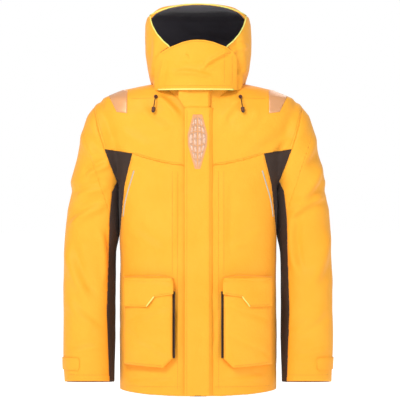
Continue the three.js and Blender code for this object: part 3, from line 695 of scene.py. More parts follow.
class Surface:
    """A surface that trims and stitches are laid on."""

    def __init__(self, mesh: bmesh.types.BMesh) -> None:
        """Args: mesh is read and kept as it is."""
        self.tree = BVHTree.FromBMesh(mesh)

    def front(self, x: float, z: float, lift: float = 0.0) -> Optional[tuple[Vector, Vector]]:
        """Returns: the point and normal met from the front, lifted off it, or None."""
        hit = self.tree.ray_cast(Vector((x, -600, z)), Vector((0, 1, 0)))
        return None if hit[0] is None else (hit[0] + hit[1] * lift, hit[1])

    def back(self, x: float, z: float, lift: float = 0.0) -> Optional[tuple[Vector, Vector]]:
        """Returns: the point and normal met from the back, lifted off it, or None."""
        hit = self.tree.ray_cast(Vector((x, 600, z)), Vector((0, -1, 0)))
        return None if hit[0] is None else (hit[0] + hit[1] * lift, hit[1])

    def top(self, x: float, y: float) -> float:
        """Returns: the height met from above, or well below the neck."""
        hit = self.tree.ray_cast(Vector((x, y, 400)), Vector((0, 0, -1)))
        return -60.0 if hit[0] is None else hit[0].z

    def trail(self, line: Iterable[tuple[float, float]], lift: float) -> tuple[list[Vector], list[Vector]]:
        """Returns: the points and the normals met from the front along a line."""
        hits = [hit for hit in (self.front(x, z, lift) for x, z in line) if hit]
        return [hit[0] for hit in hits], [hit[1] for hit in hits]


def spaced(line: Sequence[tuple[float, float]], pitch: float) -> list[tuple[float, float]]:
    """Returns: points at an even pitch along a broken line."""
    points, carry = [], 0.0
    for (xa, za), (xb, zb) in zip(line, line[1:]):
        length = math.hypot(xb - xa, zb - za)
        at = carry
        while at < length:
            points.append((xa + (xb - xa) * at / length, za + (zb - za) * at / length))
            at += pitch
        carry = at - length
    return points


def tube(path: Sequence[Vector], radius: float, sides: int = 6, flat: float = 1.0,
         out: Optional[Sequence[Vector]] = None) -> bmesh.types.BMesh:
    """A round or flattened rope along a path.

    Args:
        path: points along it.
        radius: of the rope.
        sides: corners of its section.
        flat: thickness as a share of width.
        out: the direction that the flat side faces at each point.
    Returns: the closed rope.
    """
    rings = []
    for i, p in enumerate(path):
        run = (path[min(i + 1, len(path) - 1)] - path[max(i - 1, 0)]).normalized()
        face = out[i] if out else Vector((0, -1, 0)) if abs(run.y) < 0.9 else Vector((0, 0, 1))
        face = (face - run * face.dot(run)).normalized()
        across = run.cross(face)
        rings.append([p + across * radius * math.cos(2 * math.pi * k / sides)
                      + face * radius * flat * math.sin(2 * math.pi * k / sides) for k in range(sides)])
    return loft(rings)


def stitch_row(surface: Surface, line: Sequence[tuple[float, float]], behind: bool = False,
               pitch: float = 4.4, length: float = 3.0, width: float = 0.75) -> bmesh.types.BMesh:
    """A row of stitches laid on a surface.

    Args:
        surface: what they are sewn through.
        line: (x, z) corners of the row, seen from the front.
        behind: the row is on the back.
        pitch, length, width: of the stitches, in millimetres.
    Returns: the stitches.
    """
    row = bmesh.new()
    look = surface.back if behind else surface.front
    points = spaced(line, pitch)
    for (xa, za), (xb, zb) in zip(points, points[1:]):
        here, ahead = look(xa, za), look(xb, zb)
        if not here or not ahead or (ahead[0] - here[0]).length > 2.5 * pitch:
            continue
        run = (ahead[0] - here[0]).normalized()
        out = (here[1] - run * here[1].dot(run)).normalized()
        turn = Matrix((run, out.cross(run), out)).transposed().to_4x4()
        centre = here[0] + run * length / 2 + out * 0.12
        bmesh.ops.create_cube(row, size=1.0, matrix=Matrix.Translation(centre) @ turn
                              @ Matrix.Diagonal((length, width, 0.55, 1)))
    return row


def sheet_grid(x: tuple[float, float], z: tuple[float, float], step: float,
               place: Callable[[float, float], Vector]) -> bmesh.types.BMesh:
    """A piece of cloth made from a level grid carried into place.

    Args:
        x, z: lowest and highest of each way.
        step: size of a cell, in millimetres.
        place: where each point of the grid goes.
    Returns: the cloth, facing the front.
    """
    cloth = bmesh.new()
    bmesh.ops.create_grid(cloth, x_segments=max(1, round((x[1] - x[0]) / step)),
                          y_segments=max(1, round((z[1] - z[0]) / step)), size=1.0)
    layer = cloth.verts.layers.float_vector.new(CLOTH)
    for v in cloth.verts:
        gx = x[0] + (v.co.x + 1) / 2 * (x[1] - x[0])
        gz = z[0] + (v.co.y + 1) / 2 * (z[1] - z[0])
        v[layer] = Vector((gx * MM, gz * MM, 0))
        v.co = (gx, 0, gz)
    for v in cloth.verts:
        v.co = place(v.co.x, v.co.z)
    cloth.normal_update()
    if sum(f.normal.y for f in cloth.faces) > 0:
        bmesh.ops.reverse_faces(cloth, faces=cloth.faces[:])
    return cloth


def smoothstep(value: float) -> float:
    """Returns: a soft step from 0 to 1."""
    t = min(max(value, 0.0), 1.0)
    return t * t * (3 - 2 * t)


# ---- The coat's outer skin -----------------------------------------------------------------------
ARMHOLE = Line((30, 296), (-4, 280), (-64, 266), (-119, 248), (-215, 212), (-228, 212.5), (-240, 212.5))
CHEST_SEAM = Line((0, -166), (33, -163.4), (67, -159), (93, -154.5), (120, -148), (150, -139.5), (175, -131),
                  (248, -119), (300, -112))
SIDE_SEAM = Line((-131, 175), (-173, 186), (-213, 196), (-260, 201), (-340, 209), (-376, 214), (-791, 215))
BACK_SEAM = Line((-131, 175), (-173, 186), (-213, 194), (-260, 197), (-376, 198), (-791, 198))
UNDERSIDE = Line((-190, 200), (-205, 215), (-232, 228), (-300, 235), (-371, 237), (-555, 242), (-755, 234))
ZIP_HALF = 8.0
CUFF_Z = -740.0
CUFF_SLOPE = 0.075          # how much a cuff drops towards its back
HEM_LIFT = 12.0             # how far the hem lifts at the side seams
EDGE_REST = 0.6             # cut edges stay this far above the solid's own


def hem_edge(p: Vector) -> float:
    """Returns: the height of the hem, which lifts towards the side seams."""
    return HEM + EDGE_REST + HEM_LIFT * (abs(p.x) / BODY_HALF) ** 2.4


def cuff_edge(p: Vector) -> float:
    """Returns: the height of a sleeve's lower edge, which hangs lower behind."""
    return CUFF_Z + EDGE_REST - CUFF_SLOPE * (p.y + 28)


def armpit_gap(z: float) -> float:
    """How far the sleeves are held off the body while the skin is evened out."""
    return 10 * smoothstep((-200 - z) / 35)


FRONT_FOLDS = [
    # chest and neck
    Fold((-112, 22), (-48, -42), 4.5, 11, bow=6), Fold((-150, -10), (-75, -70), 2.2, 14, bow=-8),
    Fold((118, 18), (62, -48), 3.2, 12, bow=-6), Fold((165, -12), (95, -80), 2.0, 15, bow=8),
    Fold((215, -60), (110, -130), 2.0, 17), Fold((-205, -70), (-120, -120), 1.8, 16),
    Fold((240, -80), (190, -125), 2.6, 11),
    # lower fronts
    Fold((-62, -190), (-70, -420), 1.6, 12), Fold((72, -190), (66, -430), 1.6, 12),
    Fold((-190, -330), (-90, -395), 1.7, 15), Fold((60, -395), (175, -340), 1.6, 15),
    Fold((-55, -650), (-48, -520), 2.2, 8), Fold((52, -640), (58, -540), 2.2, 8),
    Fold((-185, -740), (-60, -728), 2.4, 9), Fold((70, -735), (180, -722), 2.2, 9),
    # the wearer's right sleeve
    Fold((-318, -60), (-262, -150), 4.0, 15, bow=-8), Fold((-300, -196), (-232, -160), 5.5, 10, bow=5),
    Fold((-330, -250), (-238, -222), 5.0, 12, bow=6), Fold((-345, -330), (-246, -268), 5.5, 13, bow=8),
    Fold((-352, -372), (-290, -520), 6.0, 16, bow=-10), Fold((-262, -330), (-250, -480), 4.0, 11, bow=6),
    Fold((-350, -520), (-262, -600), 3.2, 14, bow=-6), Fold((-345, -660), (-250, -640), 2.6, 11),
    # the wearer's left sleeve
    Fold((318, -70), (268, -160), 4.5, 15, bow=8), Fold((332, -150), (262, -262), 5.5, 15, bow=10),
    Fold((340, -240), (240, -300), 5.0, 13, bow=-6), Fold((250, -300), (262, -450), 6.0, 13, bow=-8),
    Fold((348, -330), (300, -480), 5.0, 18, bow=10), Fold((340, -540), (252, -600), 3.2, 14, bow=6),
    Fold((350, -650), (258, -668), 2.4, 11),
]
BACK_FOLDS = [
    Fold((-150, -20), (-60, -110), 2.6, 18, facing=1), Fold((150, -25), (70, -120), 2.4, 18, facing=1),
    Fold((-190, -110), (-110, -190), 3.2, 15, facing=1, bow=8),
    Fold((190, -120), (115, -200), 3.2, 15, facing=1, bow=-8),
    Fold((-160, -330), (120, -385), 3.2, 17, facing=1, bow=12),
    Fold((-110, -440), (165, -415), 2.8, 16, facing=1, bow=-10),
    Fold((-120, -560), (-95, -740), 3.0, 16, facing=1), Fold((90, -540), (110, -740), 3.0, 16, facing=1),
    Fold((-330, -210), (-240, -270), 5.0, 13, facing=1, bow=6),
    Fold((330, -200), (240, -265), 5.0, 13, facing=1, bow=-6),
    Fold((-345, -345), (-245, -365), 6.0, 12, facing=1, bow=8),
    Fold((345, -340), (245, -372), 6.0, 12, facing=1, bow=-8),
    Fold((-340, -400), (-255, -425), 4.5, 12, facing=1), Fold((340, -405), (255, -420), 4.5, 12, facing=1),
    Fold((-345, -520), (-280, -660), 4.0, 15, facing=1), Fold((345, -530), (275, -660), 4.0, 15, facing=1),
]


@dataclass
class Coat:
    """The outer skin of body and sleeves, and its seams as cuts."""

    facets: int = 72
    rounds: int = 5
    slack: float = 1.9
    hug: float = 5.5
    skin: bmesh.types.BMesh = field(init=False)
    surface: Surface = field(init=False)

    def build(self) -> None:
        """Lofts, evens out and folds the skin."""
        forms = [loft([r.points(BODY_GROW, self.facets) for r in BODY_RINGS])]
        for side in Side:
            forms.append(loft([r.points(side, ARM_GROW, self.facets // 2, armpit_gap) for r in ARM_RINGS]))
        self.skin = even_skin(joined(*forms), SHELL_VOXEL, self.rounds)
        for v in self.skin.verts:
            gap = armpit_gap(v.co.z)
            if abs(v.co.x) > 213 + gap / 2:
                v.co.x -= math.copysign(gap, v.co.x)
        self.close_armpit()
        fold_cloth(self.skin, [*FRONT_FOLDS, *BACK_FOLDS], self.slack, 3.1)
        lay_weave(self.skin, self.lie)
        self.surface = Surface(self.skin)

    def close_armpit(self) -> None:
        """Brings the inside of each sleeve up to the side of the trunk, under the arm."""
        for v in self.skin.verts:
            near = smoothstep((-212 - v.co.z) / 25) * smoothstep((v.co.z + 400) / 50)
            x = abs(v.co.x)
            if x > 213:
                v.co.x -= math.copysign(self.hug * near * smoothstep((275 - x) / 60), v.co.x)
            elif x > 160:
                v.co.x += math.copysign(1.6 * near * smoothstep((x - 160) / 45), v.co.x)

    def lie(self, p: Vector) -> tuple[float, float]:
        """How the weave lies at a point of the skin."""
        if abs(p.x) > ARMHOLE(p.z):
            return math.atan2(p.y - 5, abs(p.x) - 287) * 76, p.z
        return math.atan2(p.x, -p.y) * 175, p.z

    def seam(self, line: Line, side: Side, outer: bool) -> Cut:
        """A cut along an upright seam. Args: outer keeps the cloth away from the middle."""
        s = side.value
        return Cut(Axis.X, lambda p: s * line(p.z), outer == (s > 0))

    def chest(self, above: bool) -> Cut:
        """The cut along the chest seam."""
        return Cut(Axis.Z, lambda p: CHEST_SEAM(abs(p.x)), above)

    def fabric(self, *cuts: Cut) -> bmesh.types.BMesh:
        """Returns: the skin after cuts, with its edges sunk into their seams."""
        cloth = trimmed(self.skin, *cuts)
        sink_edges(cloth, SEAM_SINK)
        return cloth

    def patch(self, outline: Sequence[tuple[float, float]], lift: float) -> bmesh.types.BMesh:
        """Returns: a patch of the front inside a convex outline, lifted off it."""
        cloth = trimmed(self.skin, level(Axis.Y, 0.0, False))
        cut_outline(cloth, outline)
        cloth.normal_update()
        for v in cloth.verts:
            v.co += v.normal * lift
        return cloth


def ringed_distance(x: float, y: float, ring: Ring) -> float:
    """Returns: 1 on the ring's line, less inside it."""
    deep = ring.front if y < 0 else ring.back
    return (abs(x / ring.half) ** ring.square + abs(y / deep) ** ring.square) ** (1 / ring.square)


def open_neck(cloth: bmesh.types.BMesh, ring: Ring, above: float = -60.0) -> None:
    """Takes away the cloth inside the neck and draws its edge onto the ring."""
    inside = [f for f in cloth.faces
              if f.calc_center_median().z > above
              and ringed_distance(*f.calc_center_median().xy, ring) < 1]
    bmesh.ops.delete(cloth, geom=inside, context="FACES")
    for v in {v for e in cloth.edges if e.is_boundary for v in e.verts}:
        off = ringed_distance(v.co.x, v.co.y, ring)
        if v.co.z > above and 0.85 < off < 1.15:
            v.co.x /= off
            v.co.y /= off


@dataclass
class Body:
    """The trunk of the coat: yokes, fronts, side panels, back, lining and hem facing."""

    coat: Coat
    neck: Ring = Ring(0, 112, 104, 82, 2.3)
    lining_inset: float = 6.0

    def build(self) -> list[bpy.types.Object]:
        """Cuts every panel. Returns: the pieces."""
        coat, made = self.coat, []
        open_neck(coat.skin, self.neck)
        for side in Side:
            zip_edge = level(Axis.X, side.value * ZIP_HALF, side is Side.LEFT)
            inside = coat.seam(ARMHOLE, side, False)
            front = level(Axis.Y, 0.0, False)
            word = side.word
            made += [
                self.panel(f"chest_yoke_{word}", zip_edge, inside, front, coat.chest(True)),
                self.panel(f"lower_front_{word}", zip_edge, front, coat.chest(False),
                           coat.seam(SIDE_SEAM, side, False)),
                self.side_panel(side),
            ]
        holes = [coat.seam(ARMHOLE, side, False) for side in Side]
        sides = [coat.seam(BACK_SEAM, side, False) for side in Side]
        back = level(Axis.Y, 0.0, True)
        made.append(self.panel("back_yoke", back, *holes, coat.chest(True)))
        made.append(self.panel("back_panel", back, *sides, coat.chest(False)))
        made += self.inside()
        return made

    def panel(self, name: str, *cuts: Cut) -> bpy.types.Object:
        """Returns: one yellow panel, dressed."""
        cloth = self.coat.fabric(*cuts, Cut(Axis.Z, hem_edge, True))
        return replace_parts(finished(f"{name}_cloth", cloth, YELLOW, "shell_fabric", WALL), name)

    def side_panel(self, side: Side) -> bpy.types.Object:
        """Returns: a dark side panel, which runs round from front to back."""
        coat = self.coat
        rest = (coat.seam(ARMHOLE, side, False), coat.chest(False), Cut(Axis.Z, hem_edge, True))
        cloth = joined(
            trimmed(coat.skin, level(Axis.Y, 0.0, False), coat.seam(SIDE_SEAM, side, True), *rest),
            trimmed(coat.skin, level(Axis.Y, 0.0, True), coat.seam(BACK_SEAM, side, True), *rest), weld=0.02)
        sink_edges(cloth, SEAM_SINK)
        made = finished(f"side_panel_{side.word}_cloth", cloth, PLUM, "dark_fabric", WALL)
        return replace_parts(made, f"side_panel_{side.word}")

    def inside(self) -> list[bpy.types.Object]:
        """Returns: the lining and the hem facing."""
        form = loft([r.points(-self.lining_inset, 72) for r in BODY_RINGS[:8]], ends=False)
        long = [e for e in form.edges if abs(e.verts[0].co.z - e.verts[1].co.z) > 30]
        bmesh.ops.subdivide_edges(form, edges=long, cuts=5)
        fold_cloth(form, [], 1.2, 8.0)
        for v in form.verts:
            v.co.z = min(v.co.z, 40)
        bmesh.ops.bisect_plane(form, geom=form.verts[:] + form.edges[:] + form.faces[:],
                               plane_co=(0, 0, 10), plane_no=(0, 0, 1), clear_outer=True)
        for side in Side:
            holes = [f for f in form.faces if side.value * f.calc_center_median().x > 196
                     and -190 < f.calc_center_median().z < -40 and abs(f.calc_center_median().y) < 62]
            bmesh.ops.delete(form, geom=holes, context="FACES")
        front = [f for f in form.faces if abs(f.calc_center_median().x) < 13 and f.calc_center_median().y < 0]
        bmesh.ops.delete(form, geom=front, context="FACES")
        lay_weave(form, self.coat.lie)
        upper = trimmed(form, level(Axis.Z, FACING_TOP, True))
        lower = trimmed(form, level(Axis.Z, FACING_TOP, False),
                        Cut(Axis.Z, lambda p: hem_edge(p) + EDGE_REST, True))
        lining = finished("trunk_lining", upper, LINING, "lining", LINING_WALL)
        facing = finished("hem_facing_cloth", lower, PLUM, "dark_fabric", LINING_WALL)
        form.free()
        return [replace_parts(lining, "body_lining"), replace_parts(facing, "hem_facing")]


@dataclass
class Sleeves:
    """Both sleeves: shoulder caps, arms, cuffs and tabs."""

    coat: Coat
    armpit: Vector = field(default_factory=lambda: Vector((212, 0, -215)))
    outward: Vector = field(default_factory=lambda: Vector((0.946, 0, -0.324)))
    cap: float = 45.0                   # cap, from the armhole seam outwards
    elbow: tuple[float, float] = (-334.0, -410.0)
    tab: tuple[float, float] = (-705.0, -673.0)

    def build(self) -> list[bpy.types.Object]:
        """Cuts caps, arms, undersides, cuffs and tabs. Returns: the pieces."""
        made = []
        for side in Side:
            word, coat = side.word, self.coat
            outside = coat.seam(ARMHOLE, side, True)
            over = coat.seam(UNDERSIDE, side, True)
            under = coat.seam(UNDERSIDE, side, False)
            end = Cut(Axis.Z, cuff_edge, True)
            for far, part in ((False, "upper"), (True, "forearm")):
                split = self.cap_end(side, far)
                for cut, finish, slot, stem in ((over, YELLOW, "shell_fabric", "sleeve"),
                                                (under, PLUM, "dark_fabric", "underarm")):
                    cloth = coat.fabric(outside, cut, end)
                    split.apply(cloth)
                    sleeve = finished(f"{part}_{stem}_{word}_cloth", cloth, finish, slot, WALL)
                    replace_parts(sleeve, f"{part}_{stem}_{word}")
                    self.bend(sleeve, far)
                    made.append(sleeve)
            made.append(self.cuff(side))
            made.append(self.cuff_tab(side))
        return made

    def cap_end(self, side: Side, far: bool) -> Cut:
        """The slanted cut between cap and arm. Args: far keeps the arm."""
        s, out, foot = side.value, self.outward, self.armpit
        line = lambda p: s * (foot.x + (self.cap - (p.z - foot.z) * out.z) / out.x)
        return Cut(Axis.X, line, far == (s > 0))

    def bend(self, piece: bpy.types.Object, far: bool) -> None:
        """Bakes a piece's placement into its mesh. Args: far is the arm; both ways do the same."""
        if far:
            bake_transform(piece)
            return
        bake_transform(piece)

    def cuff(self, side: Side) -> bpy.types.Object:
        """Returns: the inner cuff of a side."""
        rings = []
        low, high = ARM_RINGS[0], ARM_RINGS[1]
        for i in range(7):
            t = i / 6
            ring = ArmRing(tuple(a + (b - a) * t for a, b in zip(low.outer, high.outer)),
                           tuple(a + (b - a) * t for a, b in zip(low.inner, high.inner)),
                           low.deep + (high.deep - low.deep) * t, low.y + (high.y - low.y) * t)
            rings.append(ring.points(side, -4.2, 60, lambda z: 0.0))
        band = loft(rings, ends=False)
        Cut(Axis.Z, lambda p: cuff_edge(p) - 0.5, True).apply(band)
        fold_cloth(band, [], 0.8, 5.0)
        lay_weave(band, self.coat.lie)
        made = finished(f"inner_cuff_{side.word}_cloth", band, CUFF, "cuff_lining", 1.2)
        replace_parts(made, f"inner_cuff_{side.word}")
        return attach(made, f"forearm_{side.word}")

    def cuff_tab(self, side: Side) -> bpy.types.Object:
        """Returns: the closing tab round the front of the cuff."""
        s = side.value
        cloth = trimmed(self.coat.skin, level(Axis.Y, -24, False), level(Axis.Z, self.tab[0], True),
                        level(Axis.Z, self.tab[1], False), level(Axis.X, s * 315, s > 0))
        bmesh.ops.subdivide_edges(cloth, edges=cloth.edges[:], cuts=1, use_grid_fill=True)
        cloth.normal_update()
        middle, half = sum(self.tab) / 2, (self.tab[1] - self.tab[0]) / 2
        for v in cloth.verts:
            corner = abs(v.co.z - middle) - (half - 5)
            if corner > 0 and abs(v.co.x) < 320:
                v.co.x += s * corner * max(0.0, 1 - (abs(v.co.x) - 315) / 5)
            v.co += v.normal * 2.9
        made = finished(f"cuff_tab_{side.word}_cloth", cloth, YELLOW, "shell_fabric", 2.4, bevel=0.6)
        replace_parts(made, f"cuff_tab_{side.word}")
        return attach(made, f"cuff_strap_{side.word}")


# ---- Hood, collar and face flap ------------------------------------------------------------------
FACE_SIDE = Line((60, 30), (110, 56), (152, 76), (166, 92), (186, 109), (209, 121), (224, 125.5), (239, 128))
HOOD_FOLDS = [
    Fold((-128, 60), (-112, 190), 3.0, 12, bow=-6), Fold((132, 70), (118, 190), 3.0, 12, bow=6),
    Fold((84, 132), (134, 158), 3.6, 8, bow=3), Fold((-120, 30), (-96, 96), 3.2, 10),
    Fold((118, 84), (112, 14), 4.2, 9, bow=-3), Fold((96, 70), (128, 96), 2.6, 8),
    Fold((-90, 60), (60, 84), 2.5, 15, facing=1), Fold((-110, 130), (90, 146), 3.0, 16, facing=1, bow=10),
    Fold((-60, 200), (100, 178), 2.2, 14, facing=1), Fold((-70, 20), (-88, 110), 2.4, 12, facing=1),
    Fold((80, 10), (96, 110), 2.4, 12, facing=1),
]
FLAP_FOLDS = [
    Fold((88, 144), (6, 92), 4.6, 7, bow=-4, hollow=0.5), Fold((-72, 82), (40, 70), 3.4, 8, bow=5),
    Fold((-52, 92), (48, 96), 2.6, 10, bow=-5), Fold((-88, 124), (-104, 60), 2.0, 8),
    Fold((-36, 130), (-24, 122), 2.0, 4),
]


BRIM_HALF = 128.0


def brim(x: float) -> float:
    """Returns: the height of the face opening's upper edge."""
    return 264.5 - 27 * (x / BRIM_HALF) ** 2


@dataclass
class Hood:
    """The hood with its lining, bound edge and face flap, and the collar under it."""

    coat: Coat
    facets: int = 80
    flap_top: Line = Line((-111, 112), (-98, 134), (-74, 149), (-40, 163), (-18, 168), (0, 169), (18, 168),
                          (40, 163), (73, 150), (88, 139), (97, 127), (98, 123))
    flap_foot: float = 37.0
    settle: float = 3.0         # how far the grown top is let down again
    crown_drop: float = 11.0    # how far the crown lies below the brim
    skin: bmesh.types.BMesh = field(init=False)

    def build(self) -> list[bpy.types.Object]:
        """Makes hood, lining, binding, flap and collar. Returns: the pieces."""
        self.skin = even_skin(loft([r.points(HOOD_GROW, self.facets) for r in HOOD_RINGS]), HOOD_VOXEL, 4)
        for v in self.skin.verts:
            high = smoothstep((v.co.z - 150) / 70)
            v.co.z -= high * (self.settle + self.crown_drop * smoothstep((v.co.y + 98) / 60))
        plain = self.skin.copy()
        fold_cloth(self.skin, HOOD_FOLDS, 1.6, 6.2)
        for cloth in (self.skin, plain):
            lay_weave(cloth, lambda p: (math.atan2(p.x, -p.y) * 128, p.z))
        shell = self.opened(self.skin, 0.0)
        Cut(Axis.Z, self.rim, True).apply(shell)
        sink_edges(shell, 0.5)
        made = [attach(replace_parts(finished("hood_cloth", shell, YELLOW, "shell_fabric", 2.2),
                                    "hood_shell"), "hood")]
        inner = self.opened(self.skin, 3.4)
        level(Axis.Z, 44, True).apply(inner)
        made.append(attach(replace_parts(finished("hood_lining_cloth", inner, LINING, "lining", 1.2),
                                        "hood_lining"), "hood"))
        made.append(self.binding())
        made += self.flap(plain)
        made += self.collar()
        return made

    def rim(self, p: Vector) -> float:
        """Where the hood meets the coat under a point."""
        foot = self.coat.surface.top(p.x, p.y) + 1.5
        if p.y < -50:
            foot = max(foot, self.flap_foot - max(abs(p.x) - 104, 0) * 3.5)
        return max(-34.0, min(foot, 60.0))

    @staticmethod
    def crown_edge(p: Vector) -> float:
        """Returns: the height the face opening reaches, which drops behind the brim."""
        return brim(p.x) - 13 * smoothstep((p.y + 104) / 45)

    def opened(self, skin: bmesh.types.BMesh, inset: float) -> bmesh.types.BMesh:
        """Returns: a copy of the hood with its face open, moved in by inset."""
        whole = skin.copy()
        whole.normal_update()
        for v in whole.verts:
            v.co -= v.normal * inset
        behind, ahead = level(Axis.Y, -10, True), level(Axis.Y, -10, False)
        left = Cut(Axis.X, lambda p: FACE_SIDE(p.z), True)
        right = Cut(Axis.X, lambda p: -FACE_SIDE(p.z), False)
        parts = [trimmed(whole, behind), trimmed(whole, ahead, left), trimmed(whole, ahead, right),
                 trimmed(whole, ahead, Cut(Axis.X, lambda p: FACE_SIDE(p.z), False),
                         Cut(Axis.X, lambda p: -FACE_SIDE(p.z), True), Cut(Axis.Z, self.crown_edge, True))]
        whole.free()
        return joined(*parts, weld=0.05)

    def binding(self) -> bpy.types.Object:
        """Returns: the bright binding along the face opening."""
        surface = Surface(self.skin)
        side = [(FACE_SIDE(z), z) for z in range(70, 236, 6)]
        top = [(x, brim(x)) for x in (BRIM_HALF * k / 16 for k in range(16, -17, -1))]
        line = side + top + [(-x, z) for x, z in reversed(side)]
        path, out = surface.trail(line, 0.6)
        rope = tube(path, 1.9, sides=8, flat=0.75, out=out)
        made = finished("hood_binding", rope, BINDING, "bright_piping")
        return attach(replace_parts(made, "hood_piping"), "hood")

    def flap(self, plain: bmesh.types.BMesh) -> list[bpy.types.Object]:
        """Returns: the face flap, its binding, its hook patch, the patch's stitched box and the painted shadow
        lines along the flap's edges.
        """
        cloth = trimmed(plain, level(Axis.Y, -20, False), level(Axis.Z, self.flap_foot, True),
                        Cut(Axis.Z, lambda p: self.flap_top(p.x), False), level(Axis.X, -110.5, True),
                        level(Axis.X, 98, False))
        bmesh.ops.subdivide_edges(cloth, edges=cloth.edges[:], cuts=1, use_grid_fill=True)
        cloth.normal_update()
        for v in cloth.verts:
            v.co += v.normal * 7.4
        fold_cloth(cloth, FLAP_FOLDS, 1.0, 2.2)
        surface = Surface(cloth)
        foot, ahead = surface.trail([(x, self.flap_foot + 1.6) for x in range(-106, 98, 4)], 0.2)
        rows = [stitch_row(surface, line) for line in (
            [(69, 54), (69, 134), (90, 132)], [(90, 54), (90, 130)], [(-104, 48), (92, 48)],
            [(x, self.flap_top(x) - 4.5) for x in range(-96, 94, 6)])]
        flap = finished("face_flap_cloth", cloth, YELLOW, "shell_fabric", 2.4, bevel=0.5)
        rope = tube(foot, 2.2, sides=8, flat=0.8, out=ahead)
        edge = finished("face_flap_binding", rope, BINDING, "bright_piping")
        # Painted shadow: thin dark tubes laid on the hood just outside the flap's outer ends, its top corners and
        # its right side, standing in for the flap's shadow.
        shell, lines = Surface(plain), []
        left = [(-112.6, 96), (-112.6, 106)] + [(x, self.flap_top(x) + 2.4) for x in range(-110, -76, 3)]
        right = [(x, self.flap_top(x) + 2.4) for x in range(76, 98, 3)]
        right += [(100.4, z) for z in range(124, 44, -6)]
        for line in (left, right):
            path, out = shell.trail(line, 1.2)
            lines.append(tube(path, 1.4, sides=6, flat=0.7, out=out))
        # The painted shadow lines along the flap's edges, in their dark amber finish.
        seam = finished("face_flap_edge_tape", joined(*lines), FLAP_EDGE_SHADOW, "shell_fabric")
        patch = trimmed(plain, level(Axis.Y, -20, False), level(Axis.Z, 60, True), level(Axis.Z, 120, False),
                        level(Axis.X, 82, True), level(Axis.X, 95, False))
        patch.normal_update()
        for v in patch.verts:
            v.co += v.normal * 2.9
        hooks = finished("face_flap_hooks", patch, HOOKS, "hook_tape", 1.6, bevel=0.3)
        thread = finished("face_flap_stitching", joined(*rows), THREAD, "shell_fabric")
        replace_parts(flap, "face_flap")
        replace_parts(edge, "face_flap_piping")
        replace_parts(hooks, "face_flap_hook_patch")
        return [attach(o, "face_guard") for o in (flap, edge, hooks, thread, seam)]

    def collar(self) -> list[bpy.types.Object]:
        """Returns: the collar and its lining."""
        made = []
        for name, node, grow, finish, slot, gap, wall in (
                ("collar_cloth", "collar", 0.0, YELLOW, "shell_fabric", ZIP_HALF, 2.6),
                ("collar_lining_cloth", "collar_lining", -3.6, LINING, "lining", 14.0, 1.2)):
            form = loft([[p + Vector((0, 0, lift)) for p in ring.points(grow, 96)]
                         for ring, lift in ((COLLAR_RINGS[0], -8), (COLLAR_RINGS[0], 20),
                                            (COLLAR_RINGS[1], 0), (COLLAR_RINGS[1], 26),
                                            (COLLAR_RINGS[2], 0))], ends=False)
            bmesh.ops.subdivide_edges(form, edges=form.edges[:], cuts=1, use_grid_fill=True)
            fold_cloth(form, [], 0.6, 4.0)
            Cut(Axis.Z, lambda p: min(self.coat.surface.top(p.x * 1.02, p.y * 1.02), 60) - 3,
                True).apply(form)
            slit = [trimmed(form, level(Axis.Y, 0, True)),
                    trimmed(form, level(Axis.Y, 0, False), level(Axis.X, gap, True)),
                    trimmed(form, level(Axis.Y, 0, False), level(Axis.X, -gap, False))]
            form.free()
            sheet = joined(*slit, weld=0.02)
            lay_weave(sheet, lambda p: (math.atan2(p.x, -p.y) * 105, p.z))
            made.append(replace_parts(finished(name, sheet, finish, slot, wall), node))
        return [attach(o, "root") for o in made]


# ---- Front closure -------------------------------------------------------------------------------
def on_front(x: float, out: float, up: float) -> Vector:
    """Returns: a point by the straight front edge: sideways, out of the cloth, up from the hem."""
    return FRONT_FOOT + Vector((x, 0, 0)) + FRONT_OUT * out + FRONT_UP * up


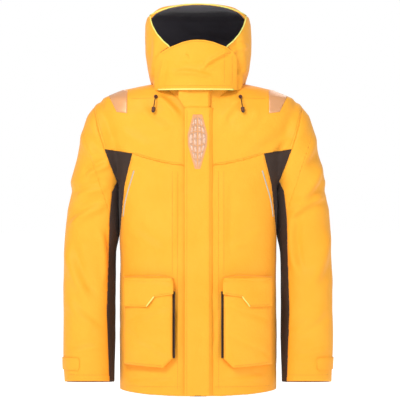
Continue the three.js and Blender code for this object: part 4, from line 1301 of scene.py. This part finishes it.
@dataclass
class Closure:
    """Storm flap, its seam and badge, collar flap, hook and loop strips, zip guard and main zip."""

    left: float = -36.0
    right: float = 33.0
    low: float = 3.0
    high: float = 763.0
    face: float = 12.0
    pitch: float = 2.6          # of the zip's teeth
    badge_rows: tuple[float, float] = (-173.0, -29.0)
    facet_rows: int = 7

    def build(self) -> list[bpy.types.Object]:
        """Makes everything along the front edge. Returns: the pieces."""
        return [*self.storm_flap(), *self.badge(), *self.strips(), *self.zip(), self.collar_flap()]

    def wave(self, x: float, up: float) -> float:
        """How far the storm flap's cloth stands out of its plane."""
        slow = noise.noise(Vector((x / 60, 3.3, up / 120)))
        small = noise.noise(Vector((x / 22 + 5, 1.1, up / 40)))
        low = math.exp(-((up - 190) / 90) ** 2)
        crumple = math.sin((up + 0.8 * x) / 9.5) * low * max(0.0, noise.noise(Vector((x / 25, 0, up / 33))))
        return 1.3 * slow + 0.5 * small + 2.0 * crumple

    def flap_point(self, x: float, up: float) -> Vector:
        """Returns: the place of a point of the storm flap's outer face."""
        edge = min(x - self.left, self.right - x)
        tuck = 2.6 * math.exp(-max(edge, 0) / 1.8) + 0.7 * math.exp(-((edge - 6.5) / 1.2) ** 2)
        return on_front(x, self.face + self.wave(x, up) - tuck, up)

    def storm_flap(self) -> list[bpy.types.Object]:
        """Returns: the flap, the sewn strip that carries it, and its stitching."""
        cloth = sheet_grid((self.left, self.right), (self.low, self.high), 3.0, self.flap_point)
        surface = Surface(cloth)
        flap = finished("storm_flap_cloth", cloth, YELLOW, "shell_fabric", 2.8, bevel=0.7)
        lines = [[(x, z) for z in range(-764, -10, 6)] for x in (self.left + 6.5, self.right - 3.5)]
        thread = finished("storm_flap_stitching", joined(*[stitch_row(surface, line) for line in lines]),
                          THREAD, "shell_fabric")
        strip = sheet_grid((self.right + 0.4, self.right + 7), (self.low, self.high), 3.0,
                           lambda x, up: on_front(x, 9.5 - 8.5 * smoothstep((x - self.right) / 7)
                                                  + 0.5 * self.wave(x, up), up))
        seam = finished("storm_flap_seam_cloth", strip, YELLOW, "shell_fabric", 2.0, bevel=0.4)
        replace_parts(flap, "storm_flap")
        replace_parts(seam, "storm_flap_seam")
        return [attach(flap, "front_flap"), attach(thread, "front_flap"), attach(seam, "root")]

    def badge(self) -> list[bpy.types.Object]:
        """Returns: the printed reflective shape on the flap and its bright facets."""
        low, high = self.badge_rows
        ups = [(z - HEM) / math.cos(TILT) for z in (low, low + 62, low + 92, high)]

        def half(up: float) -> float:
            """Half the badge's width at a height."""
            return Line((ups[0], 7), (ups[1], 25), (ups[2], 26), (ups[3], 12))(up)

        def laid(lift: float) -> Callable[[float, float], Vector]:
            """How a level point is laid on the flap."""
            return lambda x, up: self.flap_point(x, up) + FRONT_OUT * lift

        film = sheet_grid((-30, 28), (ups[0], ups[3]), 2.0, lambda x, up: Vector((x, 0, up)))
        for sign in (-1, 1):
            Cut(Axis.X, lambda p, sign=sign: -1.5 + sign * half(p.z), sign < 0).apply(film)
        place = laid(0.5)
        for v in film.verts:
            v.co = place(v.co.x, v.co.z)
        base = finished("storm_flap_badge", film, REFLECTIVE, "reflective_tape", 0.5)
        facets = bmesh.new()
        step = (ups[3] - ups[0] - 10) / self.facet_rows
        for row in range(self.facet_rows):
            for sign in (-1, 1):
                foot = ups[0] + 5 + row * step
                lean = 6 if row * 2 < self.facet_rows else -6
                edge = [half(foot + 1) - 3.4, half(foot + step - 2.4) - 3.4]
                for near, far in ((0.0, 0.42), (0.54, 1.0)):
                    ring = []
                    for share, up, reach in ((near, foot, edge[0]), (far, foot, edge[0]),
                                             (far, foot + step - 2.4, edge[1]),
                                             (near, foot + step - 2.4, edge[1])):
                        x = 2.2 + (reach - 2.2) * share
                        tip = min(max(up + lean * share, ups[0] + 3), ups[3] - 3)
                        ring.append(facets.verts.new(laid(0.9)(-1.5 + sign * x, tip)))
                    facets.faces.new(ring if sign > 0 else ring[::-1])
        shine = finished("storm_flap_facets", facets, GLINT, "reflective_tape", 0.4)
        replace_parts(base, "storm_flap_reflector")
        return [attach(o, "front_flap") for o in (base, shine)]

    def strips(self) -> list[bpy.types.Object]:
        """Returns: the hook strip on the flap, the loop strip under it and the zip guard."""
        made = []
        for name, node, body, x, out, thick, finish, slot, span in (
                ("storm_flap_hook_tape", "storm_flap_hooks", "front_flap", (-32, -14), 8.7, 1.8, HOOKS,
                 "hook_tape", (60, 703)),
                ("front_loop_tape", "front_loops", "root", (-32, -14), 6.3, 4.6, HOOKS, "hook_tape",
                 (60, 703)),
                ("zip_guard_cloth", "zip_guard", "root", (-22, 22), -6.6, 1.8, PLUM, "dark_fabric",
                 (1, 747))):
            cloth = sheet_grid(x, span, 6.0, lambda px, up, out=out: on_front(
                px, out + 0.2 * math.sin(up / 17), up))
            made.append(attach(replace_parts(finished(name, cloth, finish, slot, thick, bevel=0.4), node),
                                body))
        return made

    def zip(self) -> list[bpy.types.Object]:
        """Returns: the zip's taped rows of teeth."""
        made = []
        top = 857.0
        for side in Side:
            s = side.value
            tape = sheet_grid((3.6, 7.6) if s > 0 else (-7.6, -3.6), (8, top), 8.0,
                              lambda x, up: on_front(x, -1.0, up))
            cloth = finished(f"zip_tape_{side.word}", tape, WEBBING, "zip", 1.0)
            teeth = bmesh.new()
            turn = Matrix.Rotation(-TILT, 4, "X")
            for k in range(int((top - 10) / self.pitch)):
                up = 9 + k * self.pitch + (self.pitch / 2 if s > 0 else 0)
                bmesh.ops.create_cube(teeth, size=1.0, matrix=Matrix.Translation(on_front(s * 2.7, -1.5, up))
                                      @ turn @ Matrix.Diagonal((2.9, 2.4, 1.7, 1)))
            row = finished(f"zip_teeth_{side.word}", teeth, TOOTH, "zip", bevel=0.25)
            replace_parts(row, f"zip_half_{side.word}")
            made += [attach(cloth, "root"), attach(row, "root")]
        return made

    def collar_flap(self) -> bpy.types.Object:
        """Returns: the soft flap over the collar's front, which ends at the face flap."""
        def place(x: float, up: float) -> Vector:
            """Where a point of the flap goes: its outer edge is sewn down."""
            rise = (up - self.high) / 44
            sewn = smoothstep((x - 26) / 7)
            tucked = 3.4 * smoothstep((self.high + 4 - up) / 7)
            out = 11.4 - 8.5 * sewn - 2.4 * math.exp(-max(x - self.left + 16, 0) / 2.5) - tucked
            return on_front(x, out + 0.8 * noise.noise(Vector((x / 20, 0, up / 20)))
                            - 1.2 * smoothstep(rise - 0.8), up)
        cloth = sheet_grid((self.left - 16, self.right), (self.high - 8, self.high + 57), 3.0, place)
        Cut(Axis.Z, lambda p: -30.0 if p.x > -36 else -9.0 + (-36 - p.x) * 1.6, True).apply(cloth)
        made = finished("collar_flap_cloth", cloth, YELLOW, "shell_fabric", 2.0, bevel=0.5)
        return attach(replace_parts(made, "collar_flap"), "root")


# ---- Pockets -------------------------------------------------------------------------------------
def trunk_front(x: float, z: float, grow: float) -> float:
    """Returns: y of the trunk's smooth front, grown by a distance."""
    half = Line((-320, BODY_HALF), (-211, 211))(z) + grow
    deep = front_edge(z) + grow
    return -deep * max(0.0, 1 - min(abs(x) / half, 1) ** BODY_SQUARE) ** (1 / BODY_SQUARE)


@dataclass
class Pocket:
    """A bellows pocket with a dark gusset and a flap that lifts."""

    side: Side
    inner: float = 66.0
    outer: float = 196.0
    foot: float = -695.0
    top: float = -459.0
    depth: float = 25.0
    seed: float = 1.0

    def build(self) -> list[bpy.types.Object]:
        """Makes pouch, gusset, flap and trims. Returns: the pieces."""
        return [*self.pouch(), *self.flap()]

    def outline(self, x: float) -> float:
        """Height of the pouch's lower edge."""
        return Line((self.inner, self.foot + 26), (self.inner + 26, self.foot),
                    (self.outer, self.foot + 8))(x)

    def bulge(self, x: float, z: float) -> float:
        """How far the pouch stands off the coat at a point."""
        edge = min(x - self.inner, self.outer - x, z - self.outline(x), 60)
        crown = self.depth - 6.5 * math.exp(-max(edge, 0) / 7)
        fall = 2.2 * noise.noise(Vector((x / 42 + self.seed, 0, z / 30)))
        drag = 2.4 * math.exp(-((z - self.top + 92 + (x - 130) * 0.35) / 9) ** 2)
        low = 2.6 * math.exp(-((z - self.foot - 62 + (x - 130) * 0.5 * self.seed) / 10) ** 2)
        return crown + fall * min(1, max(edge, 0) / 15) - drag - low * min(1, max(edge, 0) / 12)

    def pouch(self) -> list[bpy.types.Object]:
        """Returns: the pouch, its dark gusset and its stitching."""
        s = self.side.value
        cloth = sheet_grid((self.inner, self.outer), (self.foot, self.top), 3.6,
                           lambda x, z: Vector((x, 0, z)))
        Cut(Axis.Z, lambda p: self.outline(p.x), True).apply(cloth)
        rim = [e for e in cloth.edges if e.is_boundary]
        back = bmesh.ops.extrude_edge_only(cloth, edges=rim)["geom"]
        rear = {v for v in back if isinstance(v, bmesh.types.BMVert)}
        front = [v for v in cloth.verts if v not in rear]
        for v in front:
            v.co.y = trunk_front(v.co.x, v.co.z, self.bulge(v.co.x, v.co.z))
        for v in rear:
            v.co.y = trunk_front(v.co.x, v.co.z, 0.8)
        side_faces = [f for f in cloth.faces if any(v in rear for v in f.verts)
                      and all(abs(v.co.x - self.inner) < 0.1 for v in f.verts)
                      and self.foot + 20 < f.calc_center_median().z < self.top - 34]
        gusset = cloth.copy()
        kept = {tuple(round(c, 2) for c in f.calc_center_median()) for f in side_faces}
        strays = [f for f in gusset.faces if tuple(round(c, 2) for c in f.calc_center_median()) not in kept]
        bmesh.ops.delete(gusset, geom=strays, context="FACES")
        bmesh.ops.delete(cloth, geom=side_faces, context="FACES")
        deep = [e for e in gusset.edges if abs(e.verts[0].co.y - e.verts[1].co.y) > 8]
        bmesh.ops.subdivide_edges(gusset, edges=deep, cuts=7)
        for v in gusset.verts:
            share = (v.co.y - trunk_front(v.co.x, v.co.z, 0.8)) / -self.depth
            v.co.x -= 3.4 * math.sin(math.pi * min(max(share, 0), 1) * 2) ** 2
        for v in cloth.verts:
            if v in front and abs(v.co.x - self.inner) < 0.1:
                v.co.x += 1.2
        lines = [[(s * (self.inner + 5), z) for z in range(-664, -528, 6)],
                 [(s * x, self.outline(x) + 6) for x in range(96, 192, 6)]]
        made = []
        self.mirror(cloth)
        rows = [stitch_row(Surface(cloth), line) for line in lines]
        self.mirror(gusset)
        for name, mesh, finish, slot in (("pouch", cloth, YELLOW, "shell_fabric"),
                                         ("gusset", gusset, PLUM, "dark_fabric")):
            wall = finished(f"pocket_{name}_{self.side.word}_cloth", mesh, finish, slot, 2.0)
            made.append(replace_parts(wall, f"pocket_{name}_{self.side.word}"))
        made.append(finished(f"pocket_stitching_{self.side.word}", joined(*rows), THREAD, "shell_fabric"))
        return [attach(o, "root") for o in made]

    def mirror(self, mesh: bmesh.types.BMesh) -> None:
        """Carries a mesh drawn on the left to this pocket's side, its faces outwards."""
        s = self.side.value
        for v in mesh.verts:
            v.co.x *= s
        bmesh.ops.recalc_face_normals(mesh, faces=mesh.faces[:])
        mesh.normal_update()
        if sum(f.normal.y * f.calc_area() for f in mesh.faces) > 0:
            bmesh.ops.reverse_faces(mesh, faces=mesh.faces[:])
            mesh.normal_update()

    def flap_edge(self, x: float) -> float:
        """Height of the flap's lower edge."""
        low = self.top - 76
        return Line((self.inner, low + 34), (self.inner + 50, low + 26), (self.inner + 70, low),
                    (self.outer, low + 1))(x)

    def flap_top(self, x: float) -> float:
        """Height of the flap's upper edge."""
        return Line((self.inner, self.top), (self.inner + 36, self.top + 8), (self.outer, self.top + 3))(x)

    def flap(self) -> list[bpy.types.Object]:
        """Returns: the flap, its stitching and its bright edge."""
        s, body = self.side.value, f"pocket_cover_{self.side.word}"

        def lie(x: float, z: float) -> Vector:
            """Where a point of the flap goes: sewn down along its top, standing off below."""
            top = self.flap_top(x) - z
            stand = self.depth + 3.6 - 24 * math.exp(-max(top, 0) / 7)
            loose = 1.4 * noise.noise(Vector((x / 34, self.seed, z / 26))) + 1.2 * smoothstep((top - 40) / 40)
            side = 2.5 * math.exp(-min(x - self.inner + 1, self.outer + 1 - x) / 3)
            return Vector((x, trunk_front(x, z, stand + loose - side), z))

        flat = sheet_grid((self.inner - 1, self.outer + 1), (self.top - 76, self.top + 8), 2.6,
                          lambda x, z: Vector((x, 0, z)))
        Cut(Axis.Z, lambda p: self.flap_edge(p.x), True).apply(flat)
        Cut(Axis.Z, lambda p: self.flap_top(p.x), False).apply(flat)
        for v in flat.verts:
            v.co = lie(v.co.x, v.co.z)
        self.mirror(flat)
        surface = Surface(flat)
        lines = [[(s * x, self.flap_edge(x) + 4) for x in range(70, 194, 4)],
                 [(s * x, self.flap_top(x) - 6) for x in range(70, 194, 4)]]
        rows = [stitch_row(surface, line) for line in lines]
        slope = [116 + 20 * k / 8 for k in range(9)]
        path, out = surface.trail([(s * x, self.flap_edge(x) + 1.2) for x in slope], 0.9)
        rope = tube(path, 2.0, sides=8, flat=0.6, out=out)
        flap = finished(f"pocket_flap_{self.side.word}_cloth", flat, YELLOW, "shell_fabric", 2.4, bevel=0.5)
        thread = finished(f"pocket_flap_stitching_{self.side.word}", joined(*rows), THREAD, "shell_fabric")
        edge = finished(f"pocket_flap_binding_{self.side.word}", rope, BINDING, "bright_piping")
        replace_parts(flap, f"pocket_flap_{self.side.word}")
        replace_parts(edge, f"pocket_flap_edge_{self.side.word}")
        return [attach(o, body) for o in (flap, thread, edge)]


# ---- Trims, cords, stitching ---------------------------------------------------------------------
CORD_ROUTE = ((112, -104.3, 20), (112.4, -108, 19.2), (113.4, -112, 15.5), (114.6, -114.6, 9),
              (115.8, -115.6, 1), (117, -116.4, -7), (118.2, -117.2, -15), (119.4, -118, -23))
CORD_RADIUS = 1.5
LOCK_AT = 6                 # the route's point that the lock sits on


def eased(points: Sequence[Vector], steps: int) -> list[Vector]:
    """Returns: a smooth run through every point, with steps between neighbours."""
    ends = [points[0] * 2 - points[1], *points, points[-1] * 2 - points[-2]]
    run = []
    for a, b, c, d in zip(ends, ends[1:], ends[2:], ends[3:]):
        for k in range(steps):
            t = k / steps
            run.append(0.5 * (2 * b + (c - a) * t + (2 * a - 5 * b + 4 * c - d) * t * t
                              + (3 * b - 3 * c + d - a) * t ** 3))
    return [*run, points[-1]]


@dataclass
class NeckCord:
    """A short drawcord at the neck with its eyelet and lock."""

    side: Side
    lock_radius: float = 5.3
    lock_length: float = 14.0

    def build(self) -> list[bpy.types.Object]:
        """Makes eyelet, cord and lock. Returns: the pieces."""
        s, word = self.side.value, self.side.word
        points = [Vector((s * x, y, z)) for x, y, z in CORD_ROUTE]
        run = eased(points, 3)
        rope = bpy.data.curves.new(f"neck_cord_{word}_braid", "CURVE")
        rope.dimensions = "3D"
        rope.bevel_depth = CORD_RADIUS * MM
        rope.bevel_resolution = 3
        rope.use_fill_caps = True
        line = rope.splines.new("POLY")
        line.points.add(len(run) - 1)
        for knot, p in zip(line.points, run):
            knot.co = (*(p * MM), 1)
        rope.materials.append(CORD.make())
        cord = bpy.data.objects.new(rope.name, rope)
        bpy.context.scene.collection.objects.link(cord)
        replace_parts(cord, f"neck_cord_{word}")
        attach(cord, "root")
        lock, button = self.lock(points), self.button(points)
        length = sum((b - a).length for a, b in zip(run, run[1:])) * MM
        return [cord, lock, button, self.eyelet(points[0])]

    def turned(self, profile: Sequence[tuple[float, float]], sides: int = 24) -> bmesh.types.BMesh:
        """Returns: a profile of (radius, height) spun about Z into a closed shape."""
        shape = bmesh.new()
        verts = [shape.verts.new((r, 0, z)) for r, z in profile]
        edges = [shape.edges.new(pair) for pair in zip(verts, verts[1:])]
        bmesh.ops.spin(shape, geom=verts + edges, cent=(0, 0, 0), axis=(0, 0, 1), dvec=(0, 0, 0),
                       angle=2 * math.pi, steps=sides, use_merge=True, use_duplicate=False)
        bmesh.ops.remove_doubles(shape, verts=shape.verts[:], dist=0.01)
        bmesh.ops.recalc_face_normals(shape, faces=shape.faces[:])
        return shape

    def along_cord(self, shape: bmesh.types.BMesh, points: Sequence[Vector]) -> None:
        """Puts a turned shape on the cord where its lock sits."""
        run = (points[LOCK_AT - 1] - points[LOCK_AT]).normalized()
        turn = Vector((0, 0, 1)).rotation_difference(run).to_matrix().to_4x4()
        bmesh.ops.transform(shape, matrix=Matrix.Translation(points[LOCK_AT]) @ turn, verts=shape.verts[:])

    def lock(self, points: Sequence[Vector]) -> bpy.types.Object:
        """Returns: the body of the cord lock, waisted, with a bore for the cord."""
        r, h, bore = self.lock_radius, self.lock_length / 2, CORD_RADIUS + 0.4
        shape = self.turned([(bore, -h + 3), (r - 1.0, -h + 3), (r - 0.2, -h + 3.8), (r, -1.5),
                             (r - 0.7, 0.4), (r - 0.6, 1.6), (r, 3.2), (r - 0.3, h - 1.2), (r - 1.5, h), (bore, h),
                             (bore, -h + 3)])
        self.along_cord(shape, points)
        made = finished(f"cord_lock_{self.side.word}_body", shape, TOGGLE, "toggle_plastic")
        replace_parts(made, f"cord_lock_{self.side.word}")
        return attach(made, f"cord_stop_{self.side.word}")

    def button(self, points: Sequence[Vector]) -> bpy.types.Object:
        """Returns: the lock's sprung button, ribbed for the thumb."""
        r, h, bore = self.lock_radius - 1.1, self.lock_length / 2, CORD_RADIUS + 0.5
        shape = self.turned([(bore, -h), (r - 0.7, -h), (r, -h + 0.7), (r, -h + 1.4), (r - 0.3, -h + 1.7),
                             (r, -h + 2.0), (r, -h + 2.9), (bore, -h + 2.9), (bore, -h)])
        self.along_cord(shape, points)
        made = finished(f"cord_lock_{self.side.word}_button", shape, DARK_PLASTIC, "toggle_plastic")
        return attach(made, f"cord_stop_{self.side.word}")

    def eyelet(self, at: Vector) -> bpy.types.Object:
        """Returns: the pressed eyelet that the cord leaves through, with its stem into the cloth."""
        shape = self.turned([(1.9, -13), (4.3, -13), (4.3, -0.6), (5.0, -0.5), (5.0, 0.0), (4.3, 0.7),
                             (2.9, 0.8), (2.1, 0.3), (1.9, -0.6), (1.9, -13)], 28)
        turn = Matrix.Rotation(math.pi / 2, 4, "X")
        bmesh.ops.transform(shape, matrix=Matrix.Translation((at.x, -104.2, at.z)) @ turn,
                            verts=shape.verts[:])
        made = finished(f"cord_eyelet_{self.side.word}_ring", shape, TOGGLE, "metal_trim")
        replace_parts(made, f"cord_eyelet_{self.side.word}")
        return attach(made, "root")


@dataclass
class Trims:
    """Reflective shoulder patches, side pipings, the hanging loop and the coat's stitching."""

    coat: Coat

    def build(self) -> list[bpy.types.Object]:
        """Lays every trim on the coat. Returns: the pieces."""
        made = []
        for side in Side:
            made += [self.shoulder(side), self.piping(side), *self.sleeve_rows(side)]
        return [*made, self.loop(), self.rows()]

    def shoulder(self, side: Side) -> bpy.types.Object:
        """Returns: the printed reflective patch on a shoulder."""
        s = side.value
        cloth = self.coat.patch([(s * x, z) for x, z in ((188, 36), (201, 42), (240, 28), (216, -20),
                                                         (188, -24))], 0.9)
        made = finished(f"shoulder_patch_{side.word}", cloth, REFLECTIVE, "reflective_tape", 0.8)
        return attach(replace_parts(made, f"shoulder_reflector_{side.word}"), "root")

    def piping(self, side: Side) -> bpy.types.Object:
        """Returns: the reflective piping beside the dark panel."""
        s = side.value
        line = [(168, -176), (174, -196), (180, -216), (186, -236), (191, -256), (194.5, -276), (197, -298)]
        path, _ = self.coat.surface.trail([(s * (x + 1.5), z) for x, z in line], 0.5)
        made = finished(f"side_piping_{side.word}_tape", tube(eased(path, 3), 2.0, sides=8, flat=0.5),
                        GREY_TAPE, "reflective_tape")
        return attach(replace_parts(made, f"side_piping_{side.word}"), "root")

    def loop(self) -> bpy.types.Object:
        """Returns: the hanging loop inside the back of the collar."""
        path = eased([Vector(p) for p in ((-26, 84, 51), (-26, 76, 54), (-26, 65, 59.5), (-20, 63.6, 61.4),
                                          (-8, 63.4, 61.4), (8, 63.4, 61.4), (20, 63.6, 61.4),
                                          (26, 65, 59.5), (26, 76, 54), (26, 84, 51))], 4)
        band = tube(path, 4.0, sides=8, flat=0.28, out=[Vector((0, -0.5, 1))] * len(path))
        made = finished("hanging_loop_webbing", band, WEBBING, "dark_fabric")
        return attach(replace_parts(made, "hanging_loop"), "root")

    def row(self, line: Sequence[tuple[float, float]], behind: bool = False) -> bmesh.types.BMesh:
        """Returns: a row of stitches on the coat."""
        return stitch_row(self.coat.surface, line, behind)

    def rows(self) -> bpy.types.Object:
        """Returns: every row of stitches on the trunk, as one piece."""
        sewn = []
        for side in Side:
            s = side.value
            chest = [(s * x, CHEST_SEAM(x) + 5) for x in range(44, 176, 6)]
            seam = [(s * (SIDE_SEAM(z) - 5), z) for z in range(-765, -136, 6)]
            arm = [(s * (ARMHOLE(z) - 6), z) for z in range(-110, 24, 6)]
            fronts = [[(s * 68, z) for z in range(-450, -172, 6)],
                      [(s * 54, z) for z in range(-750, -172, 6)]]
            hem = [(s * x, HEM + 26) for x in range(44, 200, 6)]
            shoulder = [(s * x, 16 - 0.02 * (x - 120)) for x in range(126, 186, 6)]
            for line in (chest, seam, arm, *fronts, hem, shoulder):
                sewn.append(self.row(line))
            for line in (chest, seam, arm, hem):
                sewn.append(self.row(line, behind=True))
        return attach(finished("trunk_stitching", joined(*sewn), THREAD, "shell_fabric"), "root")

    def sleeve_rows(self, side: Side) -> list[bpy.types.Object]:
        """Returns: the stitching round a cuff, front and back."""
        s = side.value
        line = [(s * x, CUFF_Z + 22) for x in range(242, 352, 6)]
        sewn = joined(self.row(line), self.row(line, behind=True))
        made = finished(f"cuff_stitching_{side.word}", sewn, THREAD, "shell_fabric")
        return [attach(made, f"forearm_{side.word}")]


# ---- Carried-over nodes, studio and the whole ----------------------------------------------------
def dress_node(name: str, finish: Finish) -> None:
    """Gives a node of the frame a finish, keeping its shape."""
    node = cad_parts[name]
    node.data.materials.clear()
    node.data.materials.append(finish.make())
    log.info("%s: dressed", name)


@dataclass(frozen=True)
class Studio:
    """A pale floor, soft light and the camera in front of the coat."""

    distance: float = 8.0
    view: float = 1.062             # width seen across the coat's middle
    middle: float = 0.08            # how far that lies in front of the origin
    aim: tuple[float, float] = (0.005, -0.254)
    ambient: float = 0.50
    floor_radius: float = 40000     # in millimetres, far enough to hide the floor's end
    floor_drop: float = 30

    def build(self) -> None:
        """Makes floor, lights and camera."""
        floor = bmesh.new()
        bmesh.ops.create_circle(floor, cap_ends=True, segments=64, radius=self.floor_radius)
        bmesh.ops.translate(floor, vec=(0, 0, HEM - self.floor_drop), verts=floor.verts[:])
        pale = Smooth("pale floor", (0.9, 0.9, 0.9), (0.87, 0.87, 0.87), rough=0.9, grain=40, depth=0.02)
        ground = finished("floor", floor, pale, "shell_fabric")
        paper = Patch(pale.make().node_tree)
        glow = pale.make().node_tree.nodes["Principled BSDF"]
        glow.inputs["Emission Color"].default_value = (1, 1, 1, 1)
        seen = paper.node("ShaderNodeLightPath").outputs["Is Camera Ray"]
        paper.feed(glow.inputs["Emission Strength"], paper.spread(seen, 0.0, 1.0, 0.42, 0.62))
        scene = bpy.context.scene
        world = bpy.data.worlds.new("soft room")
        world.use_nodes = True
        air = Patch(world.node_tree)
        seen = air.node("ShaderNodeLightPath").outputs["Is Camera Ray"]
        back = world.node_tree.nodes["Background"]
        back.inputs[0].default_value = (1, 1, 1, 1)
        air.feed(back.inputs[1], air.spread(seen, 0.0, 1.0, self.ambient, 1.0))
        scene.world = world
        for name, place, size, power_w, colour in (
                ("key", (-1.25, -2.7, 1.75), 1.0, 70, (1, 0.98, 0.95)),
                ("fill", (1.9, -2.6, 0.2), 1.6, 12, (1, 0.98, 0.95)),
                ("rim", (0.4, 2.6, 1.6), 2.0, 22, (1, 1, 1))):
            lamp = bpy.data.lights.new(name, "AREA")
            lamp.size = size
            lamp.energy = power_w
            lamp.color = colour
            light = bpy.data.objects.new(name, lamp)
            light.location = place
            light.rotation_euler = (Vector((0, 0, -0.25)) - Vector(place)).to_track_quat("-Z", "Y").to_euler()
            scene.collection.objects.link(light)
        lens = bpy.data.cameras.new("camera")
        lens.sensor_width = 36
        lens.lens = lens.sensor_width * (self.distance - self.middle) / self.view
        eye = bpy.data.objects.new("camera", lens)
        eye.location = (self.aim[0], -self.distance, self.aim[1])
        eye.rotation_euler = (math.pi / 2, 0, 0)
        scene.collection.objects.link(eye)
        scene.camera = eye
        scene.view_settings.view_transform = "Standard"
        scene.view_settings.look = "None"


def main() -> None:
    """Builds the coat round the frame, piece by piece."""
    logging.basicConfig(level=logging.INFO, format="%(message)s")
    Studio().build()
    for side in Side:
        NeckCord(side).build()
    coat = Coat()
    coat.build()
    for piece in Body(coat).build():
        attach(piece, "root")
    Sleeves(coat).build()
    Hood(coat).build()
    Closure().build()
    for side, seed in ((Side.LEFT, 1.0), (Side.RIGHT, -1.0)):
        Pocket(side, seed=seed).build()
    Trims(coat).build()
    dress_node("zip_slider", METAL)
    dress_node("zip_puller", TOOTH)


if __name__ == "__main__":
    main()
